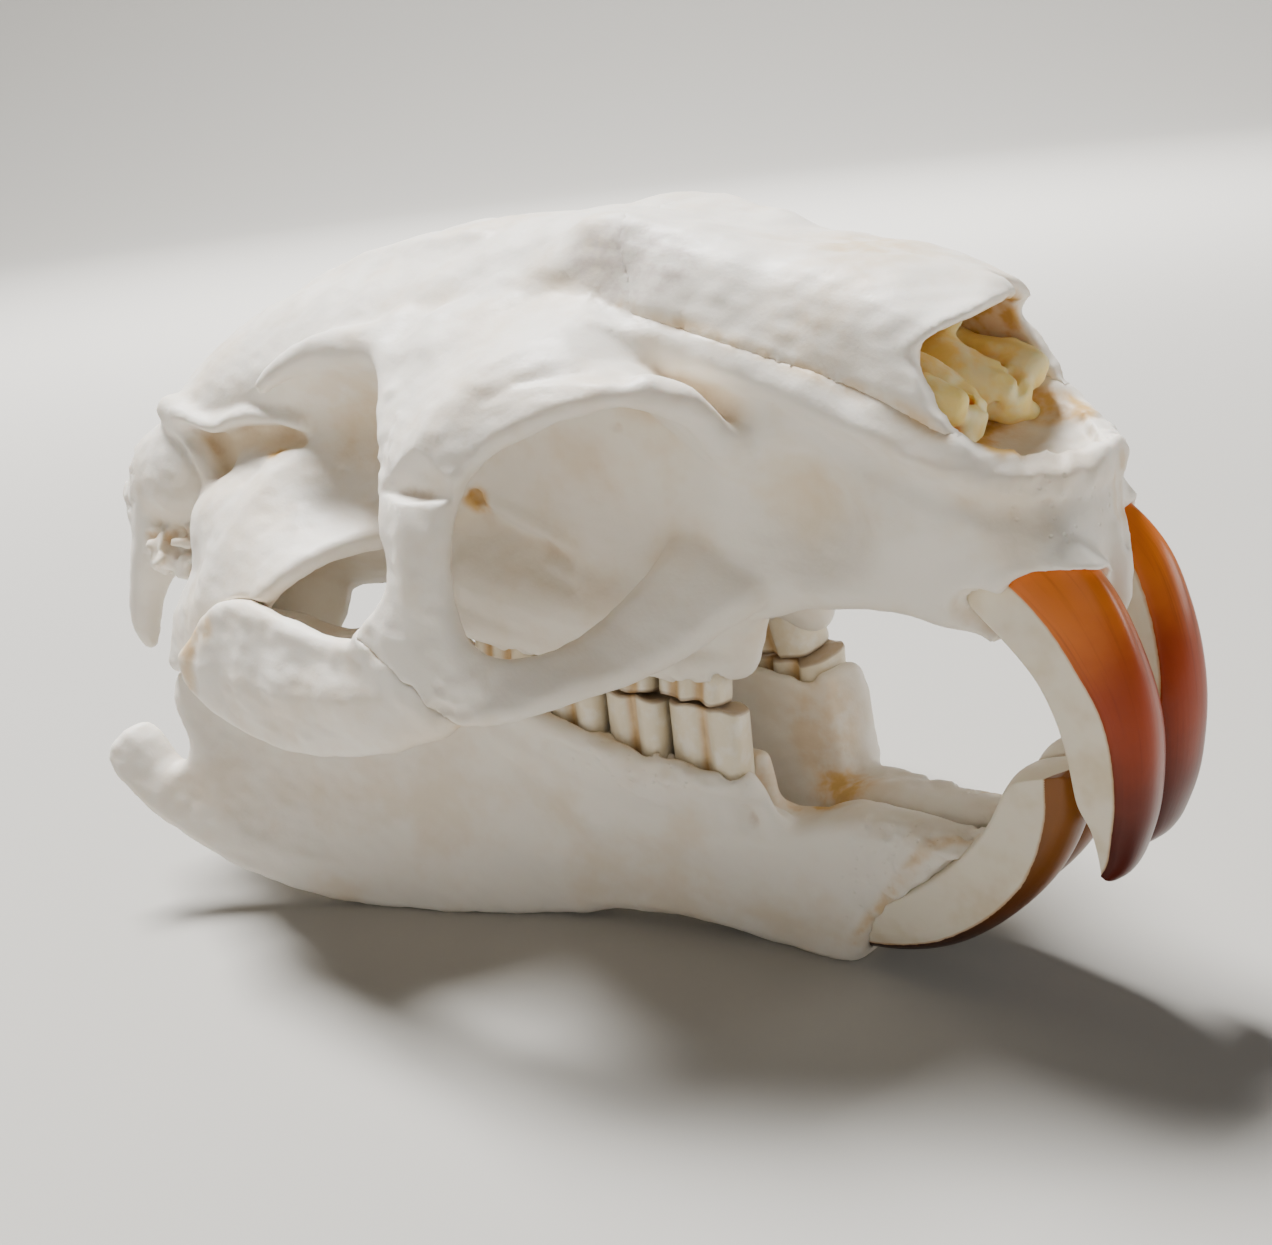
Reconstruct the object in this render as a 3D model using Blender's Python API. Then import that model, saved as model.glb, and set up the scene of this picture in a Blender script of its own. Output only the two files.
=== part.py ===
"""Coypu (nutria) skull with its lower jaw, resting on a table, in metres.

Shapes are worked out in millimetres in the skull's own frame: x runs forward from
the back of the skull, s is the distance from the midplane and z is the height over
the table. Each bone is a field of signed distances on a grid, joined and carved
from simple shapes, and its surface is turned into one closed mesh.
"""

import bmesh
import bpy
import numpy as np
import openvdb

# Driving dimensions, millimetres: the grid's cell, the gap between neighbours, the height
# at which the jaw is cut flat to rest, and where the middle of the footprint lies.
CELL = 0.6
SEAM = 0.3
FLAT = 0.15
MIDDLE_X = 58.09
# The largest distance kept in a field, and how near the table a point is set on it, metres.
FAR = 40.0
REST_BAND = 0.00015

# Incisors bend round a centre (x, z). Rows: angle in degrees, inner and outer radius,
# depth over which the front rounds off, and distances of both sides from the midplane.
# The crest says how far across the tooth, from its inner side, its front stands highest.
UPPER_CENTRE = (97.1, 27.6)
UPPER_INCISOR = ((-36.4, 20.4, 21.1, 0.8, 0.5, 6.6), (-30, 18.6, 21.0, 1.4, 0.5, 6.8),
                 (-24, 17.0, 20.9, 1.7, 0.5, 7.0), (-18, 15.2, 20.7, 1.9, 0.5, 7.2),
                 (-6, 14.0, 20.3, 2.1, 0.6, 7.4), (10, 13.2, 20.3, 2.8, 0.9, 7.6),
                 (25, 12.8, 20.7, 4.2, 1.5, 7.8), (40, 12.4, 21.4, 5.2, 2.1, 7.9),
                 (55, 12.2, 21.8, 5.6, 2.4, 7.8), (70, 12.2, 22.2, 5.6, 2.4, 7.7))
UPPER_CREST = 0.64
LOWER_CREST = 0.5
LOWER_CENTRE = (82.3, 30.6)
LOWER_INCISOR = ((-78, 26.0, 30.0, 3.0, 0.9, 5.4), (-60, 24.6, 30.7, 3.0, 0.7, 6.2),
                 (-45, 24.2, 30.7, 2.6, 0.5, 6.3), (-32, 24.1, 30.7, 2.2, 0.4, 6.1),
                 (-22, 23.9, 30.3, 1.8, 0.4, 5.8), (-18, 24.8, 29.8, 1.6, 0.4, 5.6),
                 (-13.5, 28.0, 28.9, 0.8, 0.4, 5.4))

# How round the front is at its edges, and how much a field across a slant is lowered.
BOW = 0.96
SLANT = 0.85

# Cheek teeth: x of the middle, length and width. The rows spread towards the back.
UPPER_TEETH = ((73.2, 6.2, 5.4), (66.7, 6.6, 6.0), (59.8, 7.0, 6.4), (52.3, 7.8, 6.4))
LOWER_TEETH = ((74.8, 7.4, 5.2), (67.6, 6.8, 5.8), (60.7, 6.8, 6.2), (53.2, 8.0, 6.2))
ROW_FRONT = (77.0, 7.4)
ROW_BACK = (50.0, 10.6)
BITE_HEIGHT = 25.7
BITE_MIDDLE = 8.0
BITE_SLOPE = 0.25
UPPER_LEAN = -0.22
TOOTH_SKEW = 0.3
TOOTH_CORNER = 1.6
GROOVE_RADIUS = 0.95
GROOVE_OUT = 0.35

TRIANGLES = {
    "cranium": 8200,
    "nasal_bones": 1000,
    "jugal": 520,
    "upper_incisor": 360,
    "lower_incisor": 360,
    "mandible": 2500,
}

COLOURS = {"bone": (0.84, 0.80, 0.72, 1.0), "enamel": (0.55, 0.13, 0.03, 1.0)}


def smooth_min(a, b, blend):
    """The lower of two fields, rounded where they are within `blend` of each other."""
    if blend <= 0.0:
        return np.minimum(a, b)
    h = np.maximum(blend - np.abs(a - b), 0.0) / blend
    return np.minimum(a, b) - h * h * blend * 0.25


def smooth_max(a, b, blend):
    """The higher of two fields, rounded where they are within `blend` of each other."""
    return -smooth_min(-a, -b, blend)


def spline(points, steps, ghosts=None):
    """A smooth curve through points along the first axis, `steps` parts to a span."""
    points = np.asarray(points, float)
    first, last = ghosts if ghosts else (2 * points[0] - points[1], 2 * points[-1] - points[-2])
    p = np.concatenate([[first], points, [last]])
    t = (np.arange(steps) / steps).reshape((-1,) + (1,) * points.ndim)
    a, b, c, d = p[:-3], p[1:-2], p[2:-1], p[3:]
    curve = 0.5 * (2 * b + (c - a) * t + (2 * a - 5 * b + 4 * c - d) * t**2
                   + (3 * b - a - 3 * c + d) * t**3)
    curve = np.swapaxes(curve, 0, 1).reshape((-1,) + points.shape[1:])
    return np.concatenate([curve, points[-1:]])


class Ball:
    """An ellipsoid, turned about the s axis by `tilt` degrees (nose up) if wanted."""

    def __init__(self, centre, radii, tilt=0.0):
        self.centre = np.array(centre, float)
        self.radii = np.array(radii, float)
        self.tilt = np.radians(tilt)
        reach = self.radii if tilt == 0.0 else np.full(3, self.radii.max())
        self.low, self.high = self.centre - reach, self.centre + reach

    def distance(self, x, s, z):
        x, s, z = x - self.centre[0], s - self.centre[1], z - self.centre[2]
        c, n = np.cos(self.tilt), np.sin(self.tilt)
        along, up = x * c + z * n, z * c - x * n
        a, b, e = self.radii
        near = np.sqrt((along / a) ** 2 + (s / b) ** 2 + (up / e) ** 2)
        slope = np.sqrt((along / a**2) ** 2 + (s / b**2) ** 2 + (up / e**2) ** 2)
        return (near - 1.0) * (near + 1e-3) / (slope + 1e-3 / self.radii.min())


class Rod:
    """A chain of round bars through (x, s, z, radius) points."""

    def __init__(self, points, steps=1):
        self.points = spline(points, steps) if steps > 1 else np.array(points, float)
        reach = self.points[:, 3:]
        self.low = (self.points[:, :3] - reach).min(0)
        self.high = (self.points[:, :3] + reach).max(0)

    def distance(self, x, s, z):
        best = FAR
        for a, b in zip(self.points[:-1], self.points[1:]):
            e = b - a
            length = max(e[:3] @ e[:3], 1e-9)
            t = ((x - a[0]) * e[0] + (s - a[1]) * e[1] + (z - a[2]) * e[2]) / length
            t = np.clip(t, 0.0, 1.0)
            gap = np.sqrt((x - a[0] - t * e[0]) ** 2 + (s - a[1] - t * e[1]) ** 2
                          + (z - a[2] - t * e[2]) ** 2) - (a[3] + t * e[3])
            best = np.minimum(best, gap)
        return best


class Skin:
    """A curved plate through a net of (x, s, z, half thickness) points."""

    def __init__(self, net, steps=2):
        net = np.array(net, float)
        net = spline(net, steps)
        self.net = np.swapaxes(spline(np.swapaxes(net, 0, 1), steps), 0, 1)
        reach = self.net[..., 3:]
        self.low = (self.net[..., :3] - reach).min((0, 1))
        self.high = (self.net[..., :3] + reach).max((0, 1))

    def distance(self, x, s, z):
        values = np.full(np.broadcast_shapes(x.shape, s.shape, z.shape), FAR, np.float32)
        axes = (x[:, 0, 0], s[0, :, 0], z[0, 0, :])
        rows, columns = self.net.shape[:2]
        for i in range(rows - 1):
            for j in range(columns - 1):
                corners = self.net[i:i + 2, j:j + 2].reshape(4, 4)
                for pick in ((0, 1, 3), (0, 3, 2)):
                    self.face(values, axes, corners[list(pick)])
        return values

    def face(self, values, axes, corners, reach=4.0):
        """Lower the field round one triangle of the net."""
        low, high = corners[:, :3].min(0) - reach, corners[:, :3].max(0) + reach
        cut = [slice(np.searchsorted(axis, a), np.searchsorted(axis, b))
               for axis, a, b in zip(axes, low, high)]
        if any(c.start >= c.stop for c in cut):
            return
        x = axes[0][cut[0]][:, None, None]
        s = axes[1][cut[1]][None, :, None]
        z = axes[2][cut[2]][None, None, :]
        best = FAR
        for k in range(3):
            best = np.minimum(best, Rod([corners[k], corners[(k + 1) % 3]]).distance(x, s, z))
        a, b, c = corners
        u, v = (b - a)[:3], (c - a)[:3]
        normal = np.cross(u, v)
        size = normal @ normal
        if size > 1e-9:
            du, dv = np.cross(v, normal) / size, np.cross(normal, u) / size
            dx, ds, dz = x - a[0], s - a[1], z - a[2]
            p = dx * du[0] + ds * du[1] + dz * du[2]
            q = dx * dv[0] + ds * dv[1] + dz * dv[2]
            n = normal / np.sqrt(size)
            gap = np.abs(dx * n[0] + ds * n[1] + dz * n[2])
            gap = gap - (a[3] + p * (b[3] - a[3]) + q * (c[3] - a[3]))
            inside = (p >= 0) & (q >= 0) & (p + q <= 1)
            best = np.where(inside, np.minimum(best, gap), best)
        values[tuple(cut)] = np.minimum(values[tuple(cut)], best)


def ribbon(edges, columns=4, steps=2):
    """A plate between two or more edge curves, each with the same number of points."""
    edges = np.array(edges, float)
    spots = np.linspace(0, len(edges) - 1, columns)
    low = np.minimum(spots.astype(int), len(edges) - 2)
    part = (spots - low).reshape(-1, 1, 1)
    return Skin(edges[low] * (1 - part) + edges[low + 1] * part, steps)


class Loft:
    """A solid through cross-sections: at each x, half an outline from top to bottom.

    Each section lists (s, z) points from the top of the midplane round the side to the
    bottom of the midplane. Points in between follow smooth curves both ways.
    """

    def __init__(self, sections, ends=3.0):
        self.stations = np.array(sorted(sections), float)
        self.outlines = np.array([sections[x] for x in sorted(sections)], float)
        self.ends = ends
        width, heights = self.outlines[..., 0].max(), self.outlines[..., 1]
        self.low = np.array([self.stations[0], 0.0, heights.min()])
        self.high = np.array([self.stations[-1], width, heights.max()])

    def section(self, x):
        """The outline at one x, as a fine line."""
        k = int(np.clip(np.searchsorted(self.stations, x) - 1, 0, len(self.stations) - 2))
        x0, x1 = self.stations[k], self.stations[k + 1]
        t = np.clip((x - x0) / (x1 - x0), 0.0, 1.0)
        a, b = self.outlines[k], self.outlines[k + 1]
        before, after = max(k - 1, 0), min(k + 2, len(self.stations) - 1)
        step = x1 - x0
        ta = (b - self.outlines[before]) / max(x1 - self.stations[before], 1e-6) * step
        tb = (self.outlines[after] - a) / max(self.stations[after] - x0, 1e-6) * step
        line = ((2 * t**3 - 3 * t**2 + 1) * a + (t**3 - 2 * t**2 + t) * ta
                + (3 * t**2 - 2 * t**3) * b + (t**3 - t**2) * tb)
        flip = np.array([-1.0, 1.0])
        return spline(line, 4, (line[1] * flip, line[-2] * flip))

    def distance(self, x, s, z):
        flat_s, flat_z = s[0], z[0]
        shape = np.broadcast_shapes(x.shape, s.shape, z.shape)
        values = np.empty(shape, np.float32)
        for i, place in enumerate(x[:, 0, 0]):
            values[i] = outline_distance(self.section(place), flat_s, flat_z)
        ends = np.maximum(self.stations[0] - x, x - self.stations[-1])
        return smooth_max(values, ends, self.ends)


def outline_distance(line, u, v, closed=False):
    """Signed distance from a line in a plane, negative on its inner side."""
    if closed:
        line = np.concatenate([line, line[:1]])
    best = np.full(np.broadcast_shapes(u.shape, v.shape), FAR * FAR, np.float32)
    inside = np.zeros(best.shape, bool)
    for (u0, v0), (u1, v1) in zip(line[:-1], line[1:]):
        du, dv = u1 - u0, v1 - v0
        length = max(du * du + dv * dv, 1e-9)
        t = np.clip(((u - u0) * du + (v - v0) * dv) / length, 0.0, 1.0)
        best = np.minimum(best, (u - u0 - t * du) ** 2 + (v - v0 - t * dv) ** 2)
        if v0 != v1:
            crosses = ((v0 > v) != (v1 > v)) & (u < u0 + (v - v0) / (v1 - v0) * du)
            inside ^= crosses
    return np.where(inside, -np.sqrt(best), np.sqrt(best))


class Slab:
    """A side outline in x and z that runs through the skull between two widths."""

    def __init__(self, outline, sides=(-5.0, 40.0), blend=1.0, steps=3):
        outline = np.array(outline, float)
        if steps > 1:
            outline = spline(np.concatenate([outline, outline[:1]]), steps,
                             (outline[-1], outline[1]))[:-1]
        self.outline = outline
        self.sides = sides
        self.blend = blend
        self.low = np.array([outline[:, 0].min(), sides[0], outline[:, 1].min()])
        self.high = np.array([outline[:, 0].max(), sides[1], outline[:, 1].max()])

    def distance(self, x, s, z):
        flat = outline_distance(self.outline, x[:, 0, :], z[0, 0, :][None, :], closed=True)
        flat = flat[:, None, :]
        across = np.maximum(self.sides[0] - s, s - self.sides[1])
        return smooth_max(flat, across, self.blend)


class Incisor:
    """A tooth bent round a centre in the side view, with a rounded front."""

    def __init__(self, centre, rows, crest):
        self.centre = centre
        self.crest = crest
        self.rows = np.array(rows, float)
        reach = self.rows[:, 2].max() + 1.0
        cx, cz = centre
        self.low = np.array([cx - reach, -1.0, cz - reach])
        self.high = np.array([cx + reach, self.rows[:, 5].max() + 2.0, cz + reach])

    def distance(self, x, s, z):
        cx, cz = self.centre
        radius = np.sqrt((x - cx) ** 2 + (z - cz) ** 2)
        angle = np.degrees(np.arctan2(z - cz, x - cx))
        inner, outer, drop, near, far = [np.interp(angle, self.rows[:, 0], column)
                                         for column in self.rows[:, 1:].T]
        middle, half = (near + far) / 2, (far - near) / 2
        across = np.abs(s - middle)
        crest = near + self.crest * (far - near)
        aside = np.where(s > crest, (s - crest) / (far - crest), (crest - s) / (crest - near))
        bow = np.sqrt(1.0 - BOW * np.clip(aside, 0.0, 1.0) ** 2)
        front = (radius - outer + drop * (1.0 - bow)) * SLANT
        body = smooth_max(across - half, front, 0.6)
        body = smooth_max(body, (inner - radius) * SLANT, 1.0)
        first, last = self.rows[0, 0], self.rows[-1, 0]
        ends = np.maximum(first - angle, angle - last) * np.radians(1.0) * radius
        return smooth_max(body, ends, 0.6)


class Volume:
    """Signed distances to one solid on a regular grid."""

    def __init__(self, low, high, cell=CELL):
        low = np.array(low, float)
        counts = np.ceil((np.array(high, float) - low) / cell).astype(int) + 1
        self.cell = cell
        self.axes = [low[i] + cell * np.arange(counts[i]) for i in range(3)]
        self.values = np.full(counts, FAR, np.float32)

    def window(self, low, high):
        """The cells inside a box, with their coordinates."""
        cut = tuple(slice(np.searchsorted(axis, a), np.searchsorted(axis, b, "right"))
                    for axis, a, b in zip(self.axes, low, high))
        x = self.axes[0][cut[0]][:, None, None]
        s = self.axes[1][cut[1]][None, :, None]
        z = self.axes[2][cut[2]][None, None, :]
        return cut, x, s, z

    def join(self, shape, blend=1.5):
        """Add a shape, with a fillet where it meets what is there."""
        reach = blend + 2 * self.cell
        cut, x, s, z = self.window(shape.low - reach, shape.high + reach)
        self.values[cut] = smooth_min(self.values[cut], shape.distance(x, s, z), blend)

    def carve(self, shape, blend=1.0, grow=0.0):
        """Take a shape away, with its rim rounded."""
        reach = blend + grow + 2 * self.cell
        cut, x, s, z = self.window(shape.low - reach, shape.high + reach)
        hole = grow - shape.distance(x, s, z)
        self.values[cut] = smooth_max(self.values[cut], hole, blend)

    def everywhere(self):
        """The coordinates of all cells, ready to be combined."""
        x, s, z = self.axes
        return x[:, None, None], s[None, :, None], z[None, None, :]

    def clear_of(self, other, gap):
        """Cut back what comes nearer to another solid than a gap. Both share a lattice."""
        here, there = [], []
        for a, b in zip(self.axes, other.axes):
            shift = round((b[0] - a[0]) / self.cell)
            first, last = max(0, shift), min(len(a), len(b) + shift)
            here.append(slice(first, last))
            there.append(slice(first - shift, last - shift))
        here, there = tuple(here), tuple(there)
        self.values[here] = np.maximum(self.values[here], gap - other.values[there])

    def limit(self, field, blend=0.0):
        """Keep only what lies inside another field on the same cells."""
        self.values = smooth_max(self.values, field, blend).astype(np.float32)


# Skull trunk: half outlines (s, z) from the top of the midplane to the bottom.
TRUNK = {
    3.0: [(0, 54.6), (5, 54), (9, 52.6), (13.5, 48.4), (17.6, 45.2), (19.6, 43), (20, 40),
          (19, 37), (16, 33.5), (12, 31), (7, 29.5), (0, 29.5)],
    9.0: [(0, 57.8), (5, 57.4), (9.5, 56.1), (14.5, 53), (18.5, 49.2), (20, 45), (20, 41),
          (18.5, 37), (16, 32), (12, 29), (7, 28.5), (0, 29)],
    15.0: [(0, 61.2), (5, 60.8), (10, 59.4), (15, 56.4), (18.4, 52.6), (17.8, 48), (17.4, 43),
           (16.8, 37), (15, 31), (10, 28.5), (5, 28.5), (0, 29)],
    24.0: [(0, 64.8), (5, 64.3), (10.5, 62.4), (15, 59.3), (17.9, 54.6), (16.4, 49.6), (16.6, 44),
           (16.2, 38), (13, 33), (8, 30.5), (4, 30.5), (0, 30.5)],
    33.0: [(0, 67.5), (5, 66.8), (10.5, 64.2), (15, 60.8), (17.3, 57), (15.8, 52), (15.4, 47),
           (14.6, 40), (11, 35), (7, 32.5), (4, 32), (0, 32)],
    40.0: [(0, 68.7), (5, 67.9), (11, 64.8), (15, 61.8), (17.6, 59), (15.8, 56), (13.2, 50.5),
           (12.6, 43), (11, 38), (8, 34), (4, 33), (0, 33)],
    46.0: [(0, 69.5), (5, 68.7), (11.8, 64.6), (15.2, 62), (17.8, 59.8), (16, 57.2), (12.4, 52),
           (11.4, 44), (11, 38), (9, 33), (5, 32.5), (0, 33.5)],
    54.0: [(0, 70.2), (5, 69.3), (11, 66.2), (15, 63), (18.2, 60), (16.2, 57.6), (12, 53),
           (11, 45), (11.3, 38), (11, 32.5), (5, 32), (0, 33.5)],
    61.0: [(0, 70.9), (5, 70.2), (10, 67.6), (13.6, 63.2), (17.4, 60.4), (15.4, 58), (11.6, 53),
           (10.8, 45), (11.2, 38), (11, 32.5), (5, 32), (0, 33.5)],
    68.0: [(0, 71.1), (5, 70.9), (8.8, 69.6), (11.2, 64.6), (13.4, 61), (12.8, 57.5), (11.2, 52),
           (10.6, 45), (10.8, 38), (10.2, 32.5), (5, 32), (0, 33.5)],
    77.0: [(0, 69.3), (5, 69), (8.4, 67.7), (10.8, 64.2), (12, 60.4), (11.6, 56), (10.6, 51),
           (10.4, 45), (10.2, 40), (8.6, 33.5), (5, 33), (0, 34)],
    86.0: [(0, 67.3), (5, 66.9), (8.2, 65.3), (10.4, 62), (11.6, 58.4), (11.8, 55), (11.2, 50),
           (10.6, 45), (9.8, 40), (8, 36.3), (5, 36), (0, 36.4)],
    95.0: [(0, 65.8), (5, 65.3), (8.3, 63.4), (10.2, 59.8), (11.2, 56), (11.6, 52), (11, 47),
           (10.2, 42), (9, 38.4), (7, 37), (4, 37), (0, 38)],
    102.0: [(0, 63.8), (5, 62.6), (8.2, 60.8), (10, 57.6), (10.8, 54), (11, 50), (10.5, 46),
            (9.8, 42), (9, 38.3), (7, 36.3), (4, 36.4), (0, 38.2)],
    105.4: [(0, 62.6), (4.6, 61.8), (7.6, 59.6), (9, 56), (9.6, 53), (9.9, 50), (9.8, 46),
            (9.4, 42), (9, 38.8), (7, 36.2), (4, 36.2), (0, 37.6)],
    108.0: [(0, 61.5), (3.2, 61), (4.8, 58.8), (5.6, 56), (6, 53), (6.2, 50.5), (7.4, 47.4),
            (8.2, 44), (8.2, 41), (6.4, 38), (3.6, 37), (0, 37)],
    110.6: [(0, 60), (1.6, 59.6), (2.4, 57.6), (2.8, 55.4), (3, 53), (3.2, 50.6), (4.4, 47.8),
            (6.2, 45), (6.4, 42.4), (4, 39.6), (2, 37.8), (0, 37)],
    112.6: [(0, 57), (0.6, 56.6), (1, 55), (1.3, 53), (1.5, 51.4), (1.8, 49.8), (2.2, 48),
            (2.4, 45), (2.2, 42), (1.7, 39.6), (1.2, 38), (0, 37.4)],
}

# Side outlines (x, z) of what is cut away at the nose and under the incisor sockets.
NOSE_CUT = [(101.8, 65.6), (102.6, 63.6), (103.6, 62.2), (101.4, 61), (99.8, 59.3), (101.2, 56.8),
            (102.9, 54.4), (105.2, 52.2), (108, 51.2), (111, 51), (114.5, 52), (122, 60),
            (118, 72), (104, 72)]
SOCKET_CUT = [(104.9, 30), (105.4, 36.5), (105.8, 39.6), (106.8, 41.3), (108.6, 42.3),
              (110.5, 42.8), (112.2, 43.2), (113.2, 45.4), (117, 47), (121, 38), (118, 28)]
SOCKET_WALL = 1.0
SOCKET_ANGLE = 30

# Ball hollowed out behind the nose opening: centre, radii and tilt. It leaves this wall.
NOSE_HOLLOW = ((105, 0, 57), (18, 10.5, 7.2), -8)
NOSE_WALL = 1.6

# Nose bones: height of their side suture along x, how thick they are, and the suture
# behind them, which lies at NASAL_BACK on the midplane and bows forward towards the sides.
NASAL_EDGE = [(69, 64.6), (73, 63), (78, 61.8), (86, 59.8), (92, 58.2), (98, 56), (102, 54),
              (106, 52.4)]
NASAL_THICKNESS = 2.2
NASAL_BACK = 69.4
NASAL_BACK_BOW = 0.04

# Upper root of the cheek arch and the bar behind the big opening: rear and front edges.
BAR_REAR = [(49, 15, 61.6, 1.6), (50, 17.8, 59.6, 1.3), (51.6, 19.6, 57.8, 1.1),
            (53.4, 22, 55.6, 1.1), (56.4, 24.8, 52.6, 1.1), (57.6, 26.6, 49.8, 1.2),
            (59, 28, 47.2, 1.3), (60, 29, 44, 1.3), (59.6, 29.8, 40.6, 1.3),
            (57, 30.5, 38, 1.3), (56, 31, 37, 1.2)]
BAR_MIDDLE = [(70, 12.4, 61.6, 1.8), (70, 16.4, 61, 1.6), (68.6, 20, 59.8, 1.5),
              (65.6, 23.2, 57.8, 1.5), (63.2, 25.8, 54.6, 1.6), (61.8, 27.6, 50.6, 1.7),
              (62, 28.8, 47, 1.8), (62.4, 29.6, 43, 1.8), (62.6, 30.1, 39, 1.7),
              (62.4, 30.6, 35.4, 1.5), (62.8, 30.9, 33, 1.4)]
BAR_FRONT = [(87, 10.6, 47, 1.2), (85, 12.4, 52.4, 1.1), (82.6, 15.8, 56.4, 1.1),
             (77.6, 20, 57.6, 1.1), (71, 23.8, 55.6, 1.1), (66.8, 26.2, 52.8, 1.1),
             (65.2, 27.8, 49.6, 1.2), (64.8, 28.8, 46, 1.2), (65, 29.4, 42, 1.2),
             (65.8, 29.8, 38, 1.2), (67, 29.8, 34.6, 1.2)]

# Lower root of the cheek arch, from the bar to the side of the muzzle.
ROOT_TOP = [(60, 30.4, 37.6, 1.3), (66, 29.2, 36.2, 1.2), (68.4, 26.6, 34.6, 1.1),
            (70.8, 22, 34.2, 1.1), (73, 17, 35.6, 1.4), (76.5, 11, 40.5, 1.8)]
ROOT_LOW = [(63.6, 30.9, 32, 1.2), (66.4, 30.4, 31.8, 1.2), (69.6, 27.6, 31.8, 1.3),
            (73.2, 21.4, 32.4, 1.4), (76.8, 16, 33.6, 1.6), (82.5, 10.4, 38, 1.8)]

# Cheek root of the temple bone: rear edge, middle and front edge, from the wall outwards.
TEMPLE_REAR = [(22, 14.5, 50, 2.2), (24, 17, 48, 1.9), (25, 19.4, 45, 1.7),
               (24.2, 21.6, 41.4, 1.6), (22, 23.4, 37, 1.5), (18.4, 24.8, 32, 1.3),
               (16.8, 25.6, 27, 1.1)]
TEMPLE_MIDDLE = [(33, 13.5, 50, 2.4), (33.2, 16.5, 48, 2.4), (32.6, 19.6, 45.8, 2.4),
                 (31.8, 22.8, 43.4, 2.2), (30.6, 25.6, 40.4, 2.0), (28.6, 27.6, 36, 1.6),
                 (26, 28.2, 30.5, 1.2)]
TEMPLE_FRONT = [(50, 10.5, 47, 2.0), (48.4, 13.6, 44.4, 1.6), (46.8, 17.6, 42.6, 1.3),
                (45, 21.6, 42.3, 1.2), (42.8, 25.6, 41.4, 1.1), (40, 28.4, 39.2, 1.1),
                (36.5, 29.2, 35.8, 1.0)]

# Cheek bone: upper, middle and lower lines of a deep plate.
JUGAL_TOP = [(29.4, 30.3, 33.2, 1.2), (33.4, 30, 36.2, 1.2), (38, 30, 36.9, 1.3),
             (42.6, 30.4, 36.2, 1.3), (47.6, 30.8, 35.6, 1.3), (52, 31, 35.4, 1.3),
             (56.2, 31, 35.6, 1.2)]
JUGAL_MIDDLE = [(27.4, 31, 30.8, 1.2), (31.4, 31.1, 31, 1.4), (37.6, 31.5, 30.6, 1.6),
                (44, 31.9, 30.6, 1.7), (50, 32, 31, 1.7), (55.6, 31.8, 32, 1.6),
                (60.2, 31.2, 33.2, 1.4)]
JUGAL_LOW = [(27.4, 30.9, 28.8, 1.1), (31.6, 31, 26.6, 1.2), (38, 31.1, 25.3, 1.3),
             (45, 31.3, 25.3, 1.3), (52, 31.3, 26.4, 1.3), (58.4, 31.1, 28.3, 1.3),
             (64.4, 30.9, 30.6, 1.2)]


def row_place(x):
    """Distance from the midplane of the cheek tooth row at x."""
    part = (ROW_FRONT[0] - x) / (ROW_FRONT[0] - ROW_BACK[0])
    return ROW_FRONT[1] + part * (ROW_BACK[1] - ROW_FRONT[1])


def bite(s):
    """Height at which upper and lower cheek teeth meet, rising outwards."""
    return BITE_HEIGHT + (s - BITE_MIDDLE) * BITE_SLOPE


class CheekTooth:
    """A rounded block with upright grooves, leaning and skewed, worn flat at the bite."""

    def __init__(self, x, length, width, upper, root):
        self.x, self.s = x, row_place(x)
        self.half = (length / 2, width / 2)
        self.upper = upper
        self.root = root
        self.lean = UPPER_LEAN if upper else 0.0
        self.middle = bite(self.s)
        drift = abs(self.lean * (root - self.middle))
        skew = TOOTH_SKEW * width / 2
        reach = np.array([length / 2 + skew + 1, width / 2 + drift + 1, 3.0])
        low, high = min(self.middle, root), max(self.middle, root)
        self.low = np.array([x, self.s, low]) - reach
        self.high = np.array([x, self.s, high]) + reach

    def distance(self, x, s, z):
        ds = s - self.s - self.lean * (z - self.middle)
        dx = x - self.x - TOOTH_SKEW * ds
        a, b = self.half
        outline = np.sqrt(np.maximum(np.abs(dx) - a + TOOTH_CORNER, 0) ** 2
                          + np.maximum(np.abs(ds) - b + TOOTH_CORNER, 0) ** 2) - TOOTH_CORNER
        side = 1.0 if self.upper else -1.0
        for place, face in ((-0.38 * a, side), (0.36 * a, side), (0.0, -side)):
            groove = np.sqrt((dx - place) ** 2 + (ds - face * (b + GROOVE_OUT)) ** 2) - GROOVE_RADIUS
            outline = smooth_max(outline, -groove, 0.5)
        if self.upper:
            ends = np.maximum(bite(s) + SEAM / 2 - z, z - self.root)
        else:
            ends = np.maximum(z - bite(s) + SEAM / 2, self.root - z)
        return smooth_max(outline, ends, 0.7)


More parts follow.
